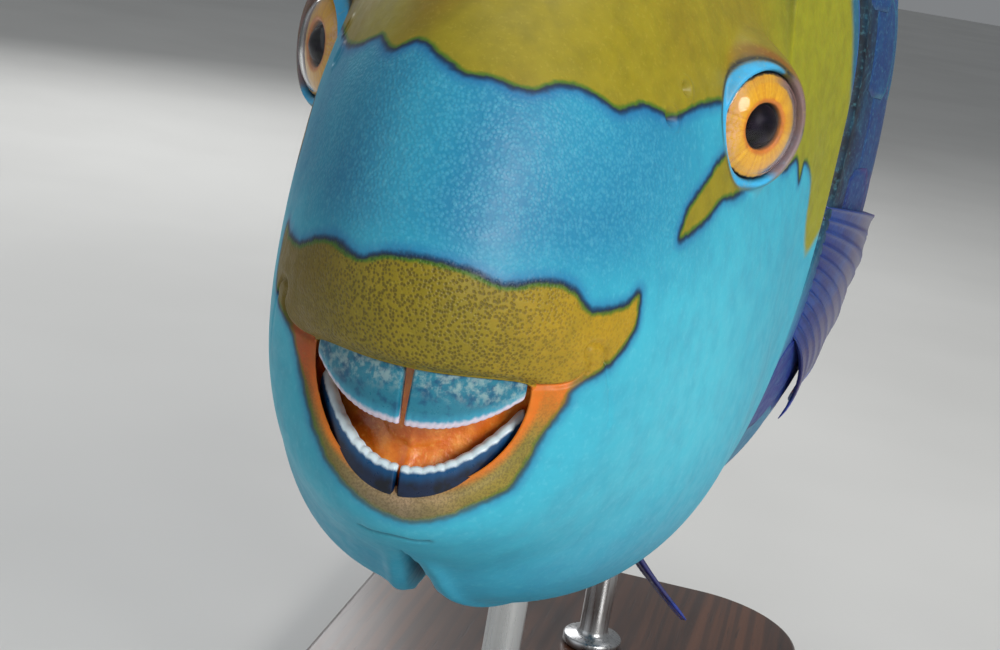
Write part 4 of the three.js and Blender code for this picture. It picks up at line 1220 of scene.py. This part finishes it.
def build_lining():
    turn = np.arange(128) / 128 * 2 * math.pi
    rings = []
    for b, top, bottom, width, bow in catmull_rom(LINING, False, 14):
        z = lerp(bottom, top, (1 + np.sin(turn)) / 2)
        x = 0.94 * width * np.cos(turn)
        rings.append(stack(x, b + bow * np.cos(turn) ** 2 + 0.12 * (top - z) + 0.6, z))
    points, faces = tube(rings, [0, 10.5, -6], [0, 27, -5])
    folds = smooth_noise(points * [1, 1, 2.2], 7, 11) * 0.35 - 0.5 * bump_at(points[:, 0], 0, 1.2)
    points[:, 1] += folds * (points[:, 1] < 16)
    g = Graph("mouth_tissue", Coat_Weight=0.5, Coat_Roughness=0.12, Subsurface_Weight=0.25,
              Subsurface_Scale=0.004)
    cloud = g.noise(240, 4)
    colour = g.layers(
        (0.86, 0.42, 0.08),
        (g.ramp(cloud, 0.35, 0.7), (0.96, 0.58, 0.20)),
        (g.ramp(g.noise(1100, 2), 0.55, 0.75, 0, 0.4), (0.98, 0.72, 0.36)),
    )
    tissue = g.done(colour, (cloud, 0.3, 0.7, 0.3, 0.45), (g.noise(700, 4), 0.5, 0.4))
    piece("lining", place(points), faces, tissue, ["mouth_lining"])


# Fins: a thin membrane with each ray raised on both faces, branching towards the margin

def fin_rays_along(edge, first, last, count, lean_from, lean_to, height_at):
    """Rays as root, bend and tip along the back (edge 1) or the belly (edge -1)."""
    def ray(i, share):
        b = lerp(first, last, share)
        root = np.array([0, b, profile_z(b, edge * 90) - edge * FIN_SINK])
        height = height_at(i, share) + FIN_SINK
        lean = rad(lerp(lean_from, lean_to, share))
        bend, tip = (root + length * np.array([0, math.cos(angle), edge * math.sin(angle)])
                     for length, angle in ((height * 0.55, lean + 0.12), (height, lean)))
        return root, bend, tip

    return fan(count, ray)


DORSAL_SPINES = 9
FIN_SINK = 5  # how far the rays' roots lie under the skin
DORSAL = fin_rays_along(1, 163, 458, 19, 62, 40, lambda i, share: (
    lerp(27, 38, min(1, i / 4)) if i < DORSAL_SPINES else lerp(41, 36, share)))
ANAL = fin_rays_along(-1, 340, 456, 12, 60, 36, lambda i, share: (
    lerp(13, 27, i / 2) if i < 3 else lerp(34, 32, (i - 3) / 8)))
TAIL = {"root": 502, "middle": 74, "lobe": 128, "rays": 16, "root_half": 24, "spread": 27, "centre": 9.5}
PECTORAL = {"rays": 12, "top": (170, 21), "bottom": (175, -13), "long": 104, "short": 42}
PELVIC = {"rays": 6, "b": 188, "x": 9, "pitch": 4.2, "long": 72, "short": 36}


def tail_rays():
    def ray(i, share):
        across = 2 * share - 1
        angle = rad(TAIL["spread"] * across)
        length = lerp(TAIL["middle"], TAIL["lobe"], abs(across) ** 3.2)
        root = np.array([0, TAIL["root"], TAIL["centre"] + TAIL["root_half"] * across])
        bend, tip = (root + reach * length * np.array([0, math.cos(turn), math.sin(turn)])
                     for reach, turn in ((0.5, angle * 1.25), (1, angle)))
        return root, bend, tip

    return fan(TAIL["rays"], ray)


def pectoral_rays(side):
    def ray(i, share):
        b, z = (lerp(t, low, share) for t, low in zip(PECTORAL["top"], PECTORAL["bottom"]))
        length = lerp(PECTORAL["long"], PECTORAL["short"], share**0.8) * (0.9 if i == 0 else 1)
        fall = rad(lerp(8, 48, share))

        def end(reach, out):
            end_b, end_z = b + reach * length * math.cos(fall), z - reach * length * math.sin(fall)
            return np.array([side * (half_width_at(end_b, end_z) + out), end_b, end_z])

        root = np.array([side * (half_width_at(b, z) - 3), b - 3, z])
        return root, end(0.3, lerp(10.5, 6.5, share)), end(1, 2.4)

    return fan(PECTORAL["rays"], ray)


def pelvic_rays(side):
    def ray(i, share):
        x = PELVIC["x"] + PELVIC["pitch"] * (1 - share) * 2.2
        b = PELVIC["b"] + 2.4 * i
        z = profile_z(b, -90) + 2 + x * 0.1
        length = lerp(PELVIC["long"], PELVIC["short"], share**1.2) * (0.82 if i == 0 else 1)
        fall, outward = rad(lerp(42, 30, share)), rad(lerp(20, 6, share))
        away = length * np.array([side * math.sin(outward), math.cos(fall), -math.sin(fall)])
        root = np.array([side * x, b, z])
        return root + [0, -4, 5], root + 0.45 * away, root + away

    return fan(PELVIC["rays"], ray)


def fin_surface(rays, s, t):
    """Points of a fin's middle surface at s along its rays and t out along them."""
    rays = np.array(rays)
    i = np.clip(np.floor(s).astype(int), 0, len(rays) - 2)
    share = (s - i)[..., None, None]
    root, bend, tip = np.moveaxis(lerp(rays[i], rays[i + 1], share), -2, 0)
    t = t[..., None]
    return (1 - t) ** 2 * root + 2 * t * (1 - t) * bend + t * t * tip


def fin_piece(name, material, rays, nodes, notch=0.0, spines=0, rows=44, crest=1.15):
    """A fin of spines that are single ridges and rays that are split in two towards the margin."""
    last = len(rays) - 1
    s, t = np.meshgrid(np.linspace(0, last, last * 10 + 1), np.linspace(0, 1, rows + 1), indexing="ij")
    nearest = np.round(s)
    away = s - nearest
    spiny = nearest < spines
    reach = t * (1 - np.where(s < spines, notch, 0.025) * np.abs(2 * away) ** 1.4)
    middle = fin_surface(rays, s, reach)
    step = 0.02
    across = fin_surface(rays, np.minimum(s + step, last), reach)
    across -= fin_surface(rays, np.maximum(s - step, 0), reach)
    along = fin_surface(rays, s, np.minimum(reach + step, 1))
    along -= fin_surface(rays, s, np.maximum(reach - step, 0))
    out = unit(np.cross(across, along))
    split = np.where(spiny, 0, 0.2 * ramp(t, 0.3, 1.0))
    width = np.where(spiny, 0.11, 0.13)
    ridge = np.maximum(bump_at(away, split, width), bump_at(away, -split, width))
    height = lerp(crest, 0.42, t) * np.where(spiny, 1, 0.85)
    joints = np.where(spiny, 0, 0.05 * np.sin(t * 130) * ridge)
    half = 0.26 + ridge * (height - 0.26) + joints * (1 - t * 0.5)
    half *= 1 - 0.5 * ramp(t, 0.93, 1)
    wave = 0.5 * np.sin(s * 2.1 + t * 5) * t * t
    points = np.stack([middle + out * (wave + half)[..., None], middle + out * (wave - half)[..., None]])
    values = {"ray": ridge, "out": t}
    values = {key: np.concatenate([v.ravel(), v.ravel()]) for key, v in values.items()}
    piece(name, place(points.reshape(-1, 3)), plate_faces(*s.shape), material, nodes, values)


def fin_material(name, base, band, margin, band_from, band_to, tint=(0.10, 0.42, 0.62)):
    """A cobalt fin with a band of another colour and a bright margin."""
    g = Graph(name, Coat_Weight=0.3, Coat_Roughness=0.2, Subsurface_Weight=0.15, Subsurface_Scale=0.003)
    ray = g.attribute("ray")
    wander = g.wander(g.attribute("out"), 0.14, g.noise(90, 3))
    inside = g.times(g.ramp(wander, band_from - 0.06, band_from + 0.06),
                     g.ramp(wander, band_to - 0.05, band_to + 0.03, 1, 0))
    colour = g.layers(
        base,
        (g.ramp(g.noise(120, 4), 0.35, 0.7), tint),
        (g.times(inside, 0.85), band),
        (g.ramp(wander, band_to, band_to + 0.05), margin),
        (g.times(ray, 0.3), tint),
        (g.ramp(g.noise(700, 3), 0.55, 0.8, 0, 0.3), (0.03, 0.10, 0.26)),
    )
    return g.done(colour, (ray, 0, 1, 0.34, 0.46), (g.noise(900, 3), 0.35, 0.25))


def build_fins():
    bright, cobalt = (0.10, 0.50, 0.74), (0.06, 0.22, 0.58)
    paint = fin_material("fin_back", cobalt, (0.62, 0.34, 0.30), bright, 0.30, 0.86)
    tail_paint = fin_material("fin_tail", cobalt, (0.58, 0.46, 0.20), bright, 0.55, 0.86)
    paired_paint = fin_material("fin_paired", (0.03, 0.11, 0.40), (0.20, 0.15, 0.36), (0.12, 0.20, 0.62),
                                0.35, 0.8, (0.05, 0.22, 0.50))
    fin_piece("dorsal", paint, DORSAL, ["dorsal_fin"], notch=0.07, spines=DORSAL_SPINES)
    fin_piece("anal", paint, ANAL, ["anal_fin"], notch=0.03, spines=3)
    fin_piece("tail", tail_paint, tail_rays(), ["tail_fin_upper", "tail_fin_lower"], rows=70, crest=1.5)
    for name, side in SIDES:
        fin_piece(f"pectoral_{name}", paired_paint, pectoral_rays(side), [f"pectoral_fin_{name}"], rows=60)
        fin_piece(f"pelvic_{name}", paired_paint, pelvic_rays(side), [f"pelvic_fin_{name}"], spines=1,
                  rows=54)


# The stand

STAND = {"length": 300, "width": 156, "thickness": 17, "corner": 40, "bevel": 2.4, "rod": 5}
ROD_PLACES = {"front": 152, "rear": 300}
COLLAR = [(0, 0.3), (9.6, 0.3), (10.2, 0.9), (10.2, 3.0), (9.7, 3.6), (6.6, 3.9), (5.5, 4.6)]


def rounded_outline(half_width, half_length, corner, steps=24):
    points = []
    for turn, (sx, sy) in enumerate([(1, 1), (-1, 1), (-1, -1), (1, -1)]):
        for k in range(steps + 1):
            angle = (turn + k / steps) * math.pi / 2
            points.append((sx * (half_width - corner) + corner * math.cos(angle),
                           sy * (half_length - corner) + corner * math.sin(angle)))
    return np.array(points)


def stand_rings(levels):
    """Rings of the base's outline pulled in by levels' first number at the height of their second."""
    return [stack(*rounded_outline(STAND["width"] / 2 - inward, STAND["length"] / 2 - inward,
                                   STAND["corner"] - inward).T, z) for inward, z in levels]


def build_base():
    thick, bevel = STAND["thickness"], STAND["bevel"]
    shoulder = thick - bevel
    levels = [(30, 0), (1.2, 0), (0.4, 0.4), (0, 1.2)]
    levels += [(0, shoulder - 3.4), (0.5, shoulder - 3.0), (0.5, shoulder - 2.2), (0, shoulder - 1.8)]
    levels += [(bevel * (1 - math.cos(t)), shoulder + bevel * math.sin(t)) for t in np.linspace(0, 1.57, 8)]
    points, faces = tube(stand_rings(levels + [(30, thick)]), [0, 0, 0], [0, 0, thick])
    g = Graph("dark_wood", Coat_Weight=0.5, Coat_Roughness=0.18)
    spot = g.stretched(26, 1.6, 26)
    grain = g.noise(3.2, 8, 0.62, vector=spot, distortion=0.7)
    years = g.waves(g.stretched(14, 0.9, 14), Scale=4.2, Distortion=5.5, Detail=4)
    pores = g.ramp(g.noise(30, 3, vector=spot), 0.62, 0.7, 0, 0.5)
    colour = g.layers(
        (0.20, 0.11, 0.06),
        (g.ramp(grain, 0.3, 0.7), (0.36, 0.21, 0.12)),
        (g.ramp(years, 0.35, 0.9, 0, 0.5), (0.13, 0.07, 0.04)),
        (pores, (0.08, 0.04, 0.02)),
    )
    relief = g.add(grain, 0.5, g.times(pores, -0.8))
    wood = g.done(colour, (grain, 0.3, 0.7, 0.3, 0.44), (relief, 0.25, 0.3))
    piece("display_base", MM * points, faces, wood, ["stand_base"])


def steel_material():
    g = Graph("brushed_steel", Metallic=1.0)
    lines = g.noise(1.0, 3, vector=g.stretched(900, 900, 40))
    colour = g.mix(lines, (0.66, 0.67, 0.68), (0.80, 0.80, 0.80))
    return g.done(colour, (lines, 0.3, 0.7, 0.24, 0.38), (lines, 0.1, 0.1))


def build_rods():
    steel = steel_material()
    foot, radius = STAND["thickness"], STAND["rod"]
    for name, b in ROD_PLACES.items():
        top = MOUTH_HEIGHT + profile_z(b, -90) + 6
        profile = [(r, foot + z) for r, z in COLLAR + [(radius, 6)]]
        profile += [(radius, lerp(foot + 6, top, k / 12)) for k in range(1, 12)]
        points, faces = lathe(profile + [(radius, top - 1), (0, top - 1)], 64)
        at = place([0, b, 0]) * [1, 1, 0]
        piece(f"display_rod_{name}", MM * points + at, faces, steel, [f"stand_rod_{name}"])


# The setting: a plain floor, soft lights and the photograph's camera

CAMERA = {"x": 68.1, "b": -283.8, "z": 87.3, "azimuth": rad(10.7), "elevation": rad(13.9), "roll": rad(9.3)}
LENS = 64.8


def build_camera():
    camera = linked(bpy.data.objects.new("camera", bpy.data.cameras.new("camera")))
    camera.data.lens, camera.data.sensor_width = LENS, 36
    camera.data.clip_start, camera.data.clip_end = 0.01, 30
    camera.matrix_world = (
        Matrix.Translation(place([CAMERA["x"], CAMERA["b"], CAMERA["z"]]))
        @ Matrix.Rotation(CAMERA["azimuth"], 4, "Z")
        @ Matrix.Rotation(math.pi / 2 - CAMERA["elevation"], 4, "X")
        @ Matrix.Rotation(CAMERA["roll"], 4, "Z")
    )
    bpy.context.scene.camera = camera


def area_light(name, place_at, target, size, power, colour=(1, 1, 1)):
    light = linked(bpy.data.objects.new(name, bpy.data.lights.new(name, "AREA")))
    light.data.shape, light.data.size = "DISK", size
    light.data.energy, light.data.color = power, colour
    light.location = place_at
    light.rotation_euler = (Vector(target) - Vector(place_at)).to_track_quat("-Z", "Y").to_euler()


def build_setting():
    bpy.ops.mesh.primitive_plane_add(size=14)
    floor = bpy.context.object
    floor.name = "floor"
    g = Graph("floor", Roughness=0.7)
    tone = g.ramp(g.noise(3, 3), 0.3, 0.7)
    floor.data.materials.append(g.done(g.mix(tone, (0.80, 0.80, 0.79), (0.83, 0.83, 0.82))))
    head = (0, -0.2, 0.18)
    area_light("key", (0.9, -1.0, 0.75), head, 0.5, 17, (1.0, 0.98, 0.95))
    area_light("fill", (-1.0, -0.7, 0.5), head, 1.1, 2, (0.93, 0.97, 1.0))
    area_light("top", (0.1, 0.2, 1.6), (0, 0.05, 0.15), 1.4, 8)
    area_light("rear", (-0.7, 1.1, 0.8), (0, 0.1, 0.2), 0.9, 7)
    world = bpy.data.worlds.new("world")
    world.use_nodes = True
    background = world.node_tree.nodes["Background"]
    background.inputs[0].default_value = (0.80, 0.83, 0.86, 1)
    background.inputs[1].default_value = 0.27
    bpy.context.scene.world = world
    bpy.context.scene.view_settings.view_transform = "Standard"


build_camera()
build_setting()
build_skin()
build_scales()
build_eyes()
build_beak()
build_lining()
build_fins()
build_base()
build_rods()
